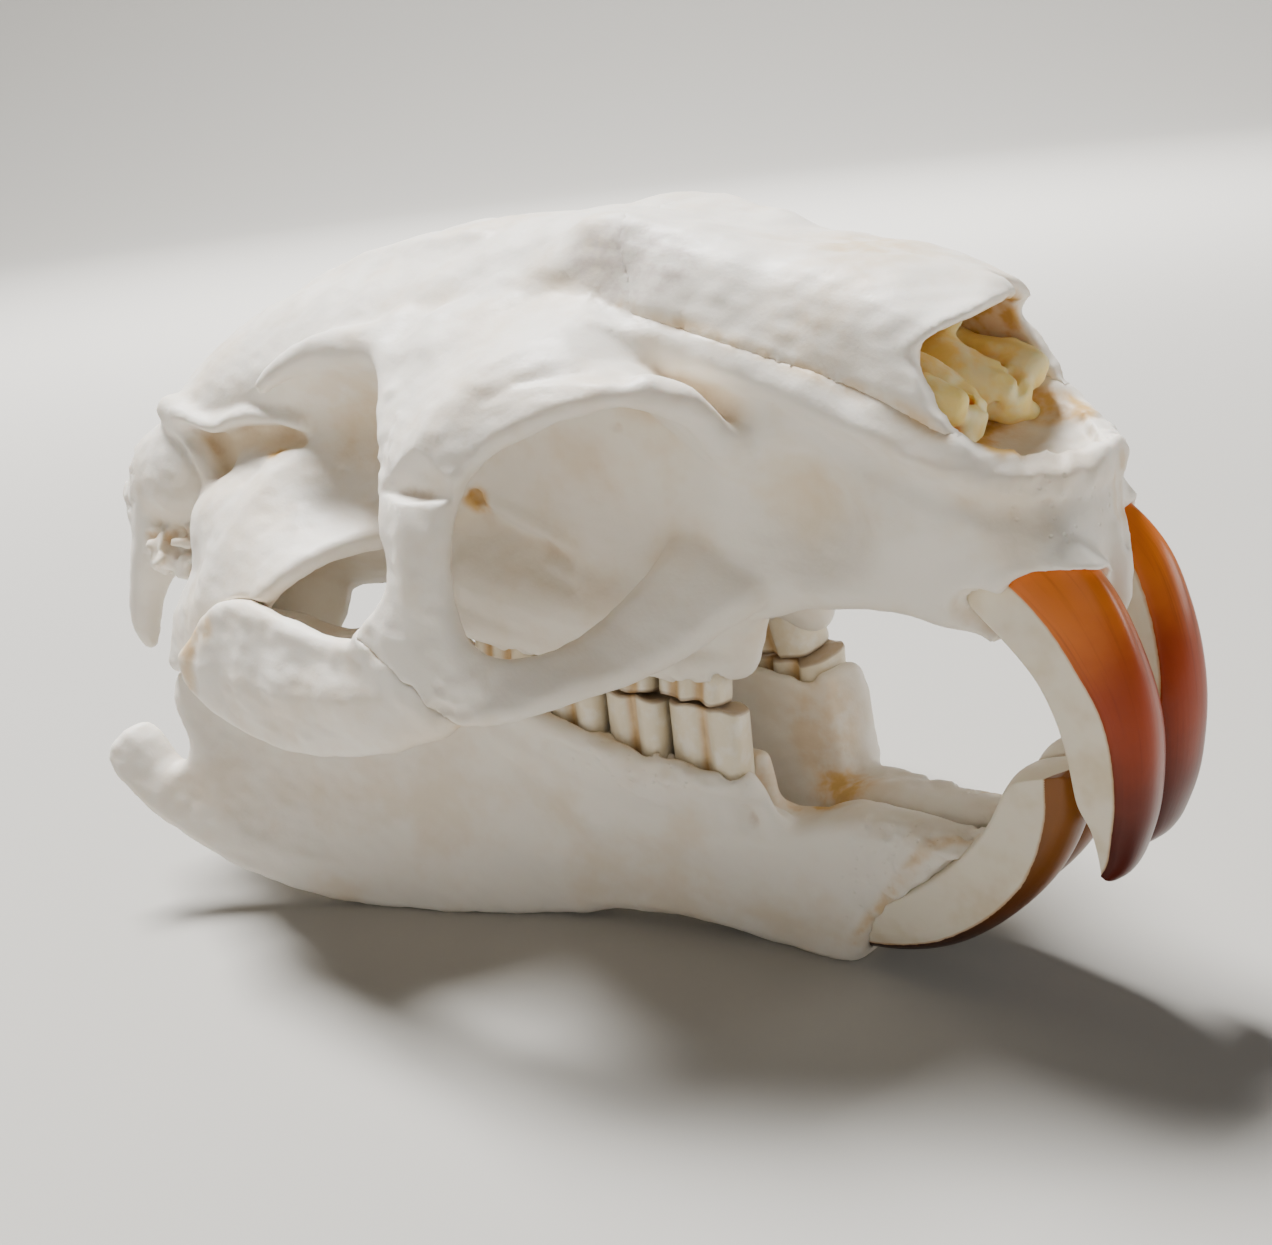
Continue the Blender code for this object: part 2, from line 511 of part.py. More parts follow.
def cranium():
    """Fields of the plain trunk and of the whole upper skull, nose bones included."""
    skull = Volume((-3, 0, 20), (119, 35, 74))
    skull.join(Loft(TRUNK, 3.5), 0.0)
    trunk = Volume((-3, 0, 20), (119, 35, 74))
    trunk.values = skull.values.copy()
    # Ear region, joints for the neck and the long processes at the back.
    skull.join(Ball((12.5, 15.6, 44.6), (10.6, 5.8, 6.6)), 1.2)
    skull.join(Ball((19.5, 12.5, 31.5), (9, 6.2, 7.6)), 1.5)
    skull.join(Rod([(15, 16, 36, 4), (12, 20.4, 37.6, 2.8)]), 1.5)
    skull.join(Ball((2.5, 7.5, 32), (3.6, 3.2, 5.4), 15), 1.5)
    skull.join(Rod([(6.8, 17.2, 39, 3.8), (5, 19, 35, 2.7), (3.8, 20.2, 31, 2.0),
                    (3.8, 20.8, 27.6, 1.5), (4.2, 21, 25.9, 0.9)], 3), 1.5)
    skull.join(Rod([(5, 0, 55.4, 1.2), (6, 8, 53.6, 1.2), (6.4, 13, 49.6, 1.2),
                    (4, 17.8, 43.8, 1.3)], 3), 1.5)
    skull.join(Rod([(13, 17.8, 53, 1.5), (17, 18.6, 52.2, 1.4), (22, 18.4, 51.6, 1.3),
                    (27, 17.4, 52.6, 1.1), (33, 15.6, 52, 0.9)], 3), 1.6)
    skull.join(Rod([(14.5, 18, 51.6, 1.2), (18.6, 19, 49.4, 1.2), (20.8, 19.4, 46, 1.2),
                    (20.4, 19.6, 42.6, 1.2), (16.6, 20, 40, 1.2), (9, 19.8, 38.8, 1.2),
                    (4.2, 18.6, 40.4, 1.5), (2.6, 17.8, 42.8, 1.5)], 3), 0.8)
    # Cheek arch.
    skull.join(ribbon([BAR_REAR, BAR_MIDDLE, BAR_FRONT], 7), 2.2)
    skull.join(ribbon([ROOT_TOP, ROOT_LOW], 4), 1.6)
    skull.join(ribbon([TEMPLE_REAR, TEMPLE_MIDDLE, TEMPLE_FRONT], 7), 2.2)
    skull.join(Ball((26.5, 20.5, 41), (7.5, 4.6, 5.5)), 2.5)
    skull.join(Rod([(50, 16.4, 60, 2.0), (44, 16.2, 60.3, 1.9), (38, 17.2, 59.6, 1.6),
                    (34.4, 18.8, 58, 1.1), (32.8, 19.8, 56.8, 0.7)], 3), 1.2)
    # Raised rim along the muzzle that carries on round the nose opening.
    skull.join(Rod([(64, 12.6, 61, 1.4), (72, 11.6, 59.8, 1.5), (80, 11, 58.8, 1.6),
                    (88, 11, 57, 1.6), (95, 10.9, 54.2, 1.6), (101, 10.2, 51.4, 1.6),
                    (105, 8.8, 49.8, 1.7), (108.6, 5.2, 49.2, 1.6), (110.8, 1.6, 49.2, 1.5)], 3), 1.0)
    # Tooth sockets and the wings behind them.
    skull.join(Rod([(77.6, 5.8, 33, 3.2), (73, 6.6, 33, 4.2), (66, 7.8, 33.6, 4.7),
                    (58, 9.2, 34.4, 4.9), (51, 10, 35.6, 4.3)], 3), 2.0)
    skull.join(Rod([(49, 7.5, 33, 1.7), (43, 6.6, 31, 1.3), (37, 7.4, 29.6, 1.0)], 3), 1.5)
    for x, length, width in UPPER_TEETH:
        skull.join(CheekTooth(x, length + 0.3, width, True, 35.0), 0.4)
    # Socket of the incisor, a wall that hugs the tooth.
    skull.join(Incisor(UPPER_CENTRE, [(angle, inner - SOCKET_WALL, outer + SOCKET_WALL, drop,
                                       near - SOCKET_WALL, far + 0.8 * SOCKET_WALL)
                                      for angle, inner, outer, drop, near, far in UPPER_INCISOR
                                      if angle > SOCKET_ANGLE], UPPER_CREST), 1.0)
    # Openings.
    skull.carve(Ball((3, 0, 38.6), (12, 6.8, 5.8)), 1.0)
    skull.carve(Rod([(46, 2.6, 29.5, 2.6), (54, 1.5, 30.6, 1.6)]), 1.0)
    skull.carve(Rod([(14, 22, 39.5, 1.6), (16, 16, 37.5, 1.4)]), 0.6)
    skull.carve(Rod([(84, 1.6, 35.6, 1.0), (96, 1.6, 37, 1.0)]), 0.6)
    skull.carve(Ball((90, 16, 48), (7, 6.4, 7.4)), 2.5)
    skull.join(Rod([(80, 17.6, 57.6, 1.3), (82.8, 14.4, 55.2, 1.2), (84.4, 12.6, 51, 1.1),
                    (86.6, 11.6, 47.4, 0.7)], 3), 1.4)
    hollow = smooth_max(trunk.values + NOSE_WALL,
                        Ball(*NOSE_HOLLOW).distance(*skull.everywhere()), 1.0)
    skull.limit(-hollow, 0.6)
    skull.carve(Slab(NOSE_CUT, steps=2), 0.5)
    skull.carve(Slab(SOCKET_CUT, (2.0, 40.0), steps=2), 0.5)
    return trunk, skull


# Lower jaw: side outline (x, z), then (x, z, s, half thickness) where it lies.
JAW_OUTLINE = [(88.4, -0.6), (91.2, 6), (95.4, 9.8), (99.2, 13.2), (102.2, 15.8), (98.8, 15.4),
               (93.6, 15.6), (88, 15.6), (82.8, 14.2), (79.6, 14.8), (78.4, 17), (77.8, 18.8),
               (74.6, 18.9), (68, 20.6), (62, 22.4), (56, 24.4), (51.4, 26), (48, 28.6), (45, 34.5),
               (42.6, 35.4), (39.5, 31.5), (35, 31.2), (30, 32.6), (22, 30.5), (16.6, 27.4),
               (15.6, 23), (18, 17.8), (16.8, 16.2), (14.2, 19.2), (12.2, 20.4), (10.2, 18),
               (12, 14.6), (17, 10), (24, 4.8), (33, 0.8), (44, -0.5), (56, 0), (65, 1.3),
               (74, 0.9), (82, -0.7)]
JAW_LIE = [(103, 18.5, 3.0, 2.2), (100, 15, 3.2, 2.8), (95, 10, 3.5, 3.1), (88, 2, 3.4, 2.9),
           (90, 15, 3.3, 3.0), (80, 1, 4.6, 2.4), (82, 9, 4.8, 3.8), (79, 17, 7.0, 3.4),
           (72, 1, 7.0, 1.8), (72, 10, 7.4, 3.2), (72, 20, 8.2, 3.5), (64, 1, 9.2, 1.6),
           (64, 10, 9.4, 2.8), (64, 22, 9.4, 3.7), (55, 0, 12.6, 1.4), (56, 12, 11.6, 2.6),
           (56, 25, 10.4, 3.7), (46, 0, 17, 1.3), (46, 12, 15, 1.7), (48, 27, 12.4, 2.8),
           (43, 34, 15.5, 1.0), (36, 1, 21, 1.2), (36, 14, 18.6, 1.2), (36, 29, 18.4, 1.7),
           (25, 6, 26.6, 1.2), (25, 18, 22.4, 1.3), (25, 30, 21.6, 2.6), (18, 26, 23.2, 1.8),
           (17, 13, 29.6, 1.3), (11, 18, 31.6, 1.1)]


def spread(sites, x, z):
    """Values given at scattered (x, z) sites, carried smoothly over the plane."""
    sites = np.array(sites, float)

    def kernel(u, v):
        squared = u * u + v * v + 1e-9
        return squared * np.log(squared)

    places, wanted = sites[:, :2], sites[:, 2:]
    count = len(sites)
    system = np.zeros((count + 3, count + 3))
    system[:count, :count] = kernel(places[:, :1] - places[:, 0], places[:, 1:] - places[:, 1])
    system[:count, :count] += 2.0 * np.eye(count)
    system[:count, count:] = np.c_[np.ones(count), places]
    system[count:, :count] = system[:count, count:].T
    weights = np.linalg.solve(system, np.vstack([wanted, np.zeros((3, wanted.shape[1]))]))
    values = [w[count] + w[count + 1] * x + w[count + 2] * z for w in weights.T]
    for k, w in enumerate(weights.T):
        for (px, pz), weight in zip(places, w[:count]):
            values[k] = values[k] + weight * kernel(x - px, z - pz)
    return values


class Jaw:
    """Half of the lower jaw: an outlined plate that leans and thickens from place to place."""

    def __init__(self):
        self.outline = spline(np.array(JAW_OUTLINE + JAW_OUTLINE[:1], float), 3,
                              (np.array(JAW_OUTLINE[-1]), np.array(JAW_OUTLINE[1])))[:-1]
        self.low = np.array([7.0, 0.0, -2.0])
        self.high = np.array([107.0, 35.0, 39.0])

    def distance(self, x, s, z):
        flat_x, flat_z = x[:, 0, :], z[0, 0, :][None, :]
        rim = outline_distance(self.outline, flat_x, flat_z, closed=True)
        middle, half = spread(JAW_LIE, flat_x, flat_z)
        half = np.clip(half, 0.8, 4.2)
        gx, gz = np.gradient(middle, flat_x[1, 0] - flat_x[0, 0], flat_z[0, 1] - flat_z[0, 0])
        slope = 1.0 / np.sqrt(1.0 + gx * gx + gz * gz)
        rim, middle = rim[:, None, :], middle[:, None, :]
        half, slope = half[:, None, :], slope[:, None, :]
        across = np.abs(s - middle) * slope - half
        rounding = np.minimum(half, 1.8)
        u, v = rim + rounding, across + rounding
        corner = np.sqrt(np.maximum(u, 0) ** 2 + np.maximum(v, 0) ** 2)
        return corner + np.minimum(np.maximum(u, v), 0) - rounding


def mandible():
    """Half of the lower jaw with its cheek teeth and the wall in front of them, as a field."""
    jaw = Volume((6, 0, -1.6), (108, 36, 40))
    jaw.join(Jaw(), 0.0)
    jaw.join(Ball((24, 21.6, 29.6), (8, 2.9, 3.4), 8), 1.5)
    for x, length, width in LOWER_TEETH:
        jaw.join(CheekTooth(x, length + 0.3, width, False, 14.0), 0.4)
    jaw.join(Rod([(78.4, 9.6, 22.6, 0.9), (79.0, 9.4, 18, 1.4), (81, 8, 13.6, 2.0)], 3), 1.5)
    jaw.carve(Rod([(79.8, 2.4, 26, 2.6), (79.6, 2.2, 17.4, 2.6), (81.4, 1.6, 15.6, 1.6)], 2), 1.2)
    _, s, z = jaw.everywhere()
    jaw.limit(SEAM / 2 - s, 0.5)
    jaw.limit(FLAT - z)
    return jaw


def nasal_lid(trunk):
    """The space that belongs to the nose bones, a shell on top of the muzzle, as a field."""
    x, s, z = trunk.everywhere()
    edge = np.array(NASAL_EDGE)
    foot = np.interp(x, edge[:, 0], edge[:, 1])
    back = NASAL_BACK + NASAL_BACK_BOW * s * s - x
    return np.maximum(np.maximum(-trunk.values - NASAL_THICKNESS, foot - z), back)


def surface(values, low, side):
    """Points and faces of a field's zero surface, faces outward.

    `side` is "left" for the field as it is, "right" for its mirror image, or "both" for
    a bone that crosses the midplane.
    """
    if side == "both":
        values = np.concatenate([values[:, :0:-1], values], axis=1)
        low = (low[0], low[1] - CELL * (values.shape[1] // 2), low[2])
    if side == "right":
        values = values[:, ::-1]
        low = (low[0], -(low[1] + CELL * (values.shape[1] - 1)), low[2])
    grid = openvdb.FloatGrid(float(FAR))
    padded = np.pad(values, 1, constant_values=FAR).astype(np.float32)
    grid.copyFromArray(np.clip(padded, -3.0, 3.0) / CELL)
    points, _, quads = grid.convertToPolygons(isovalue=0.0, adaptivity=0.0)
    points = (points - 1.0) * CELL + np.array(low)
    return points, quads


def make_object(name, points, quads, budget, finish, mirrored=False):
    """One named mesh in metres, thinned to a number of triangles.

    The middle of the footprint comes to the origin and the resting flats to z = 0.
    """
    mesh = bpy.data.meshes.new(name)
    points = (points - np.array([MIDDLE_X, 0.0, FLAT])) * 0.001
    mesh.from_pydata(points, [], quads.tolist())
    mesh.update()
    keep_largest(mesh)
    thing = bpy.data.objects.new(name, mesh)
    bpy.context.collection.objects.link(thing)
    count = 2 * len(mesh.polygons)
    thin = thing.modifiers.new("Thin", "DECIMATE")
    thin.ratio = min(1.0, budget / count)
    if mirrored:
        thin.use_symmetry = True
        thin.symmetry_axis = "Y"
    bpy.context.view_layer.update()
    lean = bpy.data.meshes.new_from_object(thing.evaluated_get(bpy.context.evaluated_depsgraph_get()))
    thing.modifiers.clear()
    thing.data = lean
    lean.name = name
    for vertex in lean.vertices:
        if vertex.co.z < REST_BAND:
            vertex.co.z = 0.0
    material = bpy.data.materials.new(name + "_" + finish)
    material.use_nodes = True
    shader = material.node_tree.nodes["Principled BSDF"]
    shader.inputs["Base Color"].default_value = COLOURS[finish]
    shader.inputs["Roughness"].default_value = 0.25 if finish == "enamel" else 0.6
    lean.materials.clear()
    lean.materials.append(material)
    return thing


def keep_largest(mesh):
    """Drop every loose piece but the one with the most points."""
    count = len(mesh.vertices)
    edges = np.empty(2 * len(mesh.edges), np.int32)
    mesh.edges.foreach_get("vertices", edges)
    edges = edges.reshape(-1, 2)
    label = np.arange(count)
    while True:
        low = np.minimum(label[edges[:, 0]], label[edges[:, 1]])
        fresh = label.copy()
        np.minimum.at(fresh, edges[:, 0], low)
        np.minimum.at(fresh, edges[:, 1], low)
        fresh = fresh[fresh]
        if np.array_equal(fresh, label):
            break
        label = fresh
    names, sizes = np.unique(label, return_counts=True)
    if len(names) == 1:
        return
    work = bmesh.new()
    work.from_mesh(mesh)
    keep = names[np.argmax(sizes)]
    work.verts.ensure_lookup_table()
    extra = [work.verts[i] for i in np.flatnonzero(label != keep)]
    bmesh.ops.delete(work, geom=extra, context="VERTS")
    work.to_mesh(mesh)
    work.free()


def build():
    """Make every node."""
    upper = Incisor(UPPER_CENTRE, UPPER_INCISOR, UPPER_CREST)
    lower = Incisor(LOWER_CENTRE, LOWER_INCISOR, LOWER_CREST)
    trunk, skull = cranium()
    skull.carve(upper, 0.3, grow=SEAM)
    plate = ribbon([JUGAL_TOP, JUGAL_MIDDLE, JUGAL_LOW], 5)
    skull.carve(plate, 0.2, grow=SEAM)
    cheek = Volume((22, 24, 20), (70, 36, 44))
    cheek.join(plate, 0.0)
    lid = nasal_lid(trunk)
    nasal = np.maximum(skull.values, lid + SEAM / 2)
    skull.limit(SEAM / 2 - lid)
    start = [axis[0] for axis in skull.axes]
    for name, values in (("cranium", skull.values), ("nasal_bones", nasal)):
        make_object(name, *surface(values, start, "both"), TRIANGLES[name], "bone", True)
    jaw = mandible()
    jaw.carve(lower, 0.3, grow=SEAM)
    jaw.clear_of(skull, SEAM)
    top_tooth = Volume((88, -0.6, 12), (120, 9, 50))
    top_tooth.join(upper, 0.0)
    low_tooth = Volume((84, -0.6, -2), (114, 9, 28))
    low_tooth.join(lower, 0.0)
    low_tooth.limit(FLAT - low_tooth.everywhere()[2])
    for name, field, finish in (("jugal", cheek, "bone"), ("mandible", jaw, "bone"),
                                ("upper_incisor", top_tooth, "enamel"),
                                ("lower_incisor", low_tooth, "enamel")):
        start = [axis[0] for axis in field.axes]
        for side in ("left", "right"):
            make_object(name + "_" + side, *surface(field.values, start, side),
                        TRIANGLES[name], finish)


for leftover in list(bpy.data.objects):
    bpy.data.objects.remove(leftover, do_unlink=True)
build()
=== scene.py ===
"""Coypu skull with its lower jaw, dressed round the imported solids.

Shapes are worked out in millimetres in the skull's own frame: x runs forward from the back
of the skull, y to its left and z up from the table, and s is the distance from the midplane.
`to_row` turns them into the frame's metres. Teeth are surfaces of two parameters. Bones have
openings, fillets and broken edges that no such sheet can give, so each is a field of signed
distances, worked out as whole arrays on a regular lattice, and its zero surface is the bone.
"""

import logging
import math
from collections.abc import Sequence
from dataclasses import dataclass, field
from enum import Enum
from typing import Any, Protocol

import bpy
import numpy as np
import openvdb
from bpy.types import Material, Mesh, Node, NodeSocket, NodeTree, Object
from mathutils import Matrix, Vector

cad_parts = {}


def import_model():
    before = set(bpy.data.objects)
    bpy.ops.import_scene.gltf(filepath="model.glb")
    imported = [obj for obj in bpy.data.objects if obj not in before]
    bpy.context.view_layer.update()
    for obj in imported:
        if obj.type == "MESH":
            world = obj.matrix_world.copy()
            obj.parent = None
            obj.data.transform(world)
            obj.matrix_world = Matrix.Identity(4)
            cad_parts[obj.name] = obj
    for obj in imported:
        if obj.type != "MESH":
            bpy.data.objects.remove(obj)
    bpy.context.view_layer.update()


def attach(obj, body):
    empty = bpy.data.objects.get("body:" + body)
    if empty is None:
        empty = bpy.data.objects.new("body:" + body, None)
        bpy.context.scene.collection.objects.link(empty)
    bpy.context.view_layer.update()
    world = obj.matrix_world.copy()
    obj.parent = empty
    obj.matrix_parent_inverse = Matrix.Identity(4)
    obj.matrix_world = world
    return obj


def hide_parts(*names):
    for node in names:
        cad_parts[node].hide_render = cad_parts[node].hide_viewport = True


log = logging.getLogger("skull")

Array = np.ndarray
Rows = Sequence[Sequence[float]]
# Lines (x, s, z) with a radius and a depth; a negative depth is a ridge.
Marks = Sequence[tuple[Rows, float, float]]
# Broken or porous places: centre, radii, and the length and depth of their roughness.
Broken = Sequence[tuple[Sequence[float], Sequence[float], float, float]]
# Stained places, a few of them partly painted shade in a hollow or a crease, how far each fades out, and
# its strength.
Stains = Sequence[tuple["Shape", float, float]]
# Shapes that are joined one after another, or carved, each with the fillet where it meets the rest.
Forms = tuple[tuple["Shape", float], ...]

# Millimetres, as the solids have them: x of the frame's origin, height of the table, and the
# gap between two pieces.
MIDDLE_X = 58.09
FLAT = 0.15
SEAM = 0.3
# What a field holds where nothing is near.
FAR = 40.0
MM = 0.001

CELL = 0.38
PIECE_TRIANGLES = 190_000
# How far one bone laps over the next, so that a suture closes, and stands proud of it.
LAP = 0.25
PROUD = 0.05
# The gap between a tooth and the rim of its socket.
GUM = 0.1


class Side(Enum):
    """Which half of the skull a piece belongs to."""

    LEFT = 1
    RIGHT = -1
    BOTH = 0

    @property
    def word(self) -> str:
        """The side as the names of nodes and pieces have it."""
        return self.name.lower()


HALVES = (Side.LEFT, Side.RIGHT)


class Slot(Enum):
    """The record's material slots."""

    BONE = "bone"
    ORANGE = "orange_enamel"
    PALE = "pale_enamel"


def to_row(points: Array) -> Array:
    """Points of the skull's frame, millimetres, in the row frame, metres."""
    return (points - np.array([MIDDLE_X, 0.0, FLAT])) * MM


def smooth_min(a: Array, b: Array, blend: float) -> Array:
    """The lower of two fields, rounded where they are within `blend` of each other."""
    if blend <= 0.0:
        return np.minimum(a, b)
    h = np.maximum(blend - np.abs(a - b), 0.0) / blend
    return np.minimum(a, b) - h * h * blend * 0.25


def smooth_max(a: Array, b: Array, blend: float) -> Array:
    """The higher of two fields, rounded where they are within `blend` of each other."""
    return -smooth_min(-a, -b, blend)


def ease(value: Array, low: float, high: float) -> Array:
    """0 at `low`, 1 at `high`, with level ends."""
    t = np.clip((value - low) / (high - low), 0.0, 1.0)
    return t * t * (3.0 - 2.0 * t)


def bell(gap: Array, width: float) -> Array:
    """1 where the gap is nothing, fading out on both sides over a width."""
    return np.exp(-((gap / width) ** 2))


def spline(points: Array, steps: int, ghosts: tuple[Array, Array] | None = None) -> Array:
    """A Catmull-Rom curve along the first axis: each span is a cubic through its ends.

    Args:
        points: the values to pass through.
        steps: parts to a span.
        ghosts: values before the first and after the last, mirrored ones if not given.

    Returns:
        The finer row of values.
    """
    points = np.asarray(points, float)
    first, last = ghosts if ghosts else (2 * points[0] - points[1], 2 * points[-1] - points[-2])
    p = np.concatenate([[first], points, [last]])
    t = (np.arange(steps) / steps).reshape((-1,) + (1,) * points.ndim)
    a, b, c, d = p[:-3], p[1:-2], p[2:-1], p[3:]
    curve = 0.5 * (2 * b + (c - a) * t + (2 * a - 5 * b + 4 * c - d) * t**2
                   + (3 * b - a - 3 * c + d) * t**3)
    curve = np.swapaxes(curve, 0, 1).reshape((-1,) + points.shape[1:])
    return np.concatenate([curve, points[-1:]])


def smooth_loop(outline: Rows) -> Array:
    """A smooth closed line through points, without its first point again at the end."""
    line = np.array(outline, float)
    return spline(np.concatenate([line, line[:1]]), 3, (line[-1], line[1]))[:-1]


@dataclass(frozen=True)
class Ripple:
    """Even, seeded unevenness: a sum of plane waves of about one length in all directions."""

    length: float
    seed: int
    count: int = 14

    def at(self, points: Array) -> Array:
        """Values of about -1 to 1 at points of any shape (..., 3)."""
        draw = np.random.default_rng(self.seed)
        ways = draw.normal(size=(self.count, 3))
        ways *= (draw.uniform(0.75, 1.3, self.count) * 2 * math.pi / self.length
                 / np.linalg.norm(ways, axis=1))[:, None]
        starts = draw.uniform(0, 2 * math.pi, self.count)
        total = np.zeros(points.shape[:-1])
        for way, start in zip(ways, starts):
            total += np.sin(points @ way + start)
        return total * (1.4 / math.sqrt(self.count))


class Shape(Protocol):
    """Anything with a box and a signed distance, negative inside."""

    low: Array
    high: Array

    def distance(self, x: Array, s: Array, z: Array) -> Array:
        """Signed distances at coordinates that combine."""


class Ball:
    """An ellipsoid, turned about the s axis by `tilt` degrees (nose up) if wanted."""

    def __init__(self, centre: Sequence[float], radii: Sequence[float], tilt: float = 0.0) -> None:
        """Keep the sizes and the box round them."""
        self.centre = np.array(centre, float)
        self.radii = np.array(radii, float)
        self.tilt = math.radians(tilt)
        reach = self.radii if tilt == 0.0 else np.full(3, self.radii.max())
        self.low, self.high = self.centre - reach, self.centre + reach

    def distance(self, x: Array, s: Array, z: Array) -> Array:
        """Scaled radius minus one, over its slope."""
        x, s, z = x - self.centre[0], s - self.centre[1], z - self.centre[2]
        c, n = math.cos(self.tilt), math.sin(self.tilt)
        along, up = x * c + z * n, z * c - x * n
        a, b, e = self.radii
        near = np.sqrt((along / a) ** 2 + (s / b) ** 2 + (up / e) ** 2)
        slope = np.sqrt((along / a**2) ** 2 + (s / b**2) ** 2 + (up / e**2) ** 2)
        return (near - 1.0) * (near + 1e-3) / (slope + 1e-3 / self.radii.min())


class Rod:
    """A chain of round bars through (x, s, z, radius) points."""

    def __init__(self, points: Rows, steps: int = 1) -> None:
        """Smooth the chain and keep the box round it."""
        self.points = spline(points, steps) if steps > 1 else np.array(points, float)
        reach = self.points[:, 3:]
        self.low = (self.points[:, :3] - reach).min(0)
        self.high = (self.points[:, :3] + reach).max(0)

    def distance(self, x: Array, s: Array, z: Array) -> Array:
        """Distance to the nearest bar's axis, minus its radius there."""
        best = FAR
        for a, b in zip(self.points[:-1], self.points[1:]):
            e = b - a
            length = max(e[:3] @ e[:3], 1e-9)
            t = ((x - a[0]) * e[0] + (s - a[1]) * e[1] + (z - a[2]) * e[2]) / length
            t = np.clip(t, 0.0, 1.0)
            gap = np.sqrt((x - a[0] - t * e[0]) ** 2 + (s - a[1] - t * e[1]) ** 2
                          + (z - a[2] - t * e[2]) ** 2) - (a[3] + t * e[3])
            best = np.minimum(best, gap)
        return best


def streak(radius: float, *spots: Sequence[float]) -> Rod:
    """A thin smooth line through (x, s, z) points, where a stain follows a seam or an edge."""
    return Rod([(*spot, radius) for spot in spots], 3)


class Skin:
    """A curved plate between edge curves of (x, s, z, half thickness) points."""

    def __init__(self, edges: Sequence[Rows], columns: int = 4, steps: int = 2) -> None:
        """Fill the plate with a net of columns between its edges, and smooth it both ways."""
        lines = np.array(edges, float)
        spots = np.linspace(0, len(lines) - 1, columns)
        low = np.minimum(spots.astype(int), len(lines) - 2)
        part = (spots - low).reshape(-1, 1, 1)
        net = spline(lines[low] * (1 - part) + lines[low + 1] * part, steps)
        self.net = np.swapaxes(spline(np.swapaxes(net, 0, 1), steps), 0, 1)
        reach = self.net[..., 3:]
        self.low = (self.net[..., :3] - reach).min((0, 1))
        self.high = (self.net[..., :3] + reach).max((0, 1))

    def distance(self, x: Array, s: Array, z: Array) -> Array:
        """Distance to the nearest triangle of the net, minus the half thickness there."""
        values = np.full(np.broadcast_shapes(x.shape, s.shape, z.shape), FAR, np.float32)
        axes = (x[:, 0, 0], s[0, :, 0], z[0, 0, :])
        rows, columns = self.net.shape[:2]
        for i in range(rows - 1):
            for j in range(columns - 1):
                corners = self.net[i:i + 2, j:j + 2].reshape(4, 4)
                for pick in ((0, 1, 3), (0, 3, 2)):
                    self._face(values, axes, corners[list(pick)])
        return values

    @staticmethod
    def _face(values: Array, axes: tuple[Array, ...], corners: Array, reach: float = 4.0) -> None:
        """Lower the field round one triangle of the net."""
        low, high = corners[:, :3].min(0) - reach, corners[:, :3].max(0) + reach
        cut = [slice(np.searchsorted(axis, a), np.searchsorted(axis, b))
               for axis, a, b in zip(axes, low, high)]
        if any(c.start >= c.stop for c in cut):
            return
        x = axes[0][cut[0]][:, None, None]
        s = axes[1][cut[1]][None, :, None]
        z = axes[2][cut[2]][None, None, :]
        best = FAR
        for k in range(3):
            best = np.minimum(best, Rod([corners[k], corners[(k + 1) % 3]]).distance(x, s, z))
        a, b, c = corners
        u, v = (b - a)[:3], (c - a)[:3]
        normal = np.cross(u, v)
        size = normal @ normal
        if size > 1e-9:
            du, dv = np.cross(v, normal) / size, np.cross(normal, u) / size
            dx, ds, dz = x - a[0], s - a[1], z - a[2]
            p = dx * du[0] + ds * du[1] + dz * du[2]
            q = dx * dv[0] + ds * dv[1] + dz * dv[2]
            n = normal / math.sqrt(size)
            gap = np.abs(dx * n[0] + ds * n[1] + dz * n[2])
            gap = gap - (a[3] + p * (b[3] - a[3]) + q * (c[3] - a[3]))
            inside = (p >= 0) & (q >= 0) & (p + q <= 1)
            best = np.where(inside, np.minimum(best, gap), best)
        values[tuple(cut)] = np.minimum(values[tuple(cut)], best)


def outline_distance(line: Array, u: Array, v: Array, closed: bool = False) -> Array:
    """Signed distance from a line in a plane, negative on its inner side.

    Args:
        line: corner points.
        u: first coordinates.
        v: second coordinates, which combine with the first.
        closed: whether the line runs back to its first point.

    Returns:
        The distances.
    """
    if closed:
        line = np.concatenate([line, line[:1]])
    best = np.full(np.broadcast_shapes(u.shape, v.shape), FAR * FAR, np.float32)
    inside = np.zeros(best.shape, bool)
    for (u0, v0), (u1, v1) in zip(line[:-1], line[1:]):
        du, dv = u1 - u0, v1 - v0
        length = max(du * du + dv * dv, 1e-9)
        t = np.clip(((u - u0) * du + (v - v0) * dv) / length, 0.0, 1.0)
        best = np.minimum(best, (u - u0 - t * du) ** 2 + (v - v0 - t * dv) ** 2)
        if v0 != v1:
            inside ^= ((v0 > v) != (v1 > v)) & (u < u0 + (v - v0) / (v1 - v0) * du)
    return np.where(inside, -np.sqrt(best), np.sqrt(best))


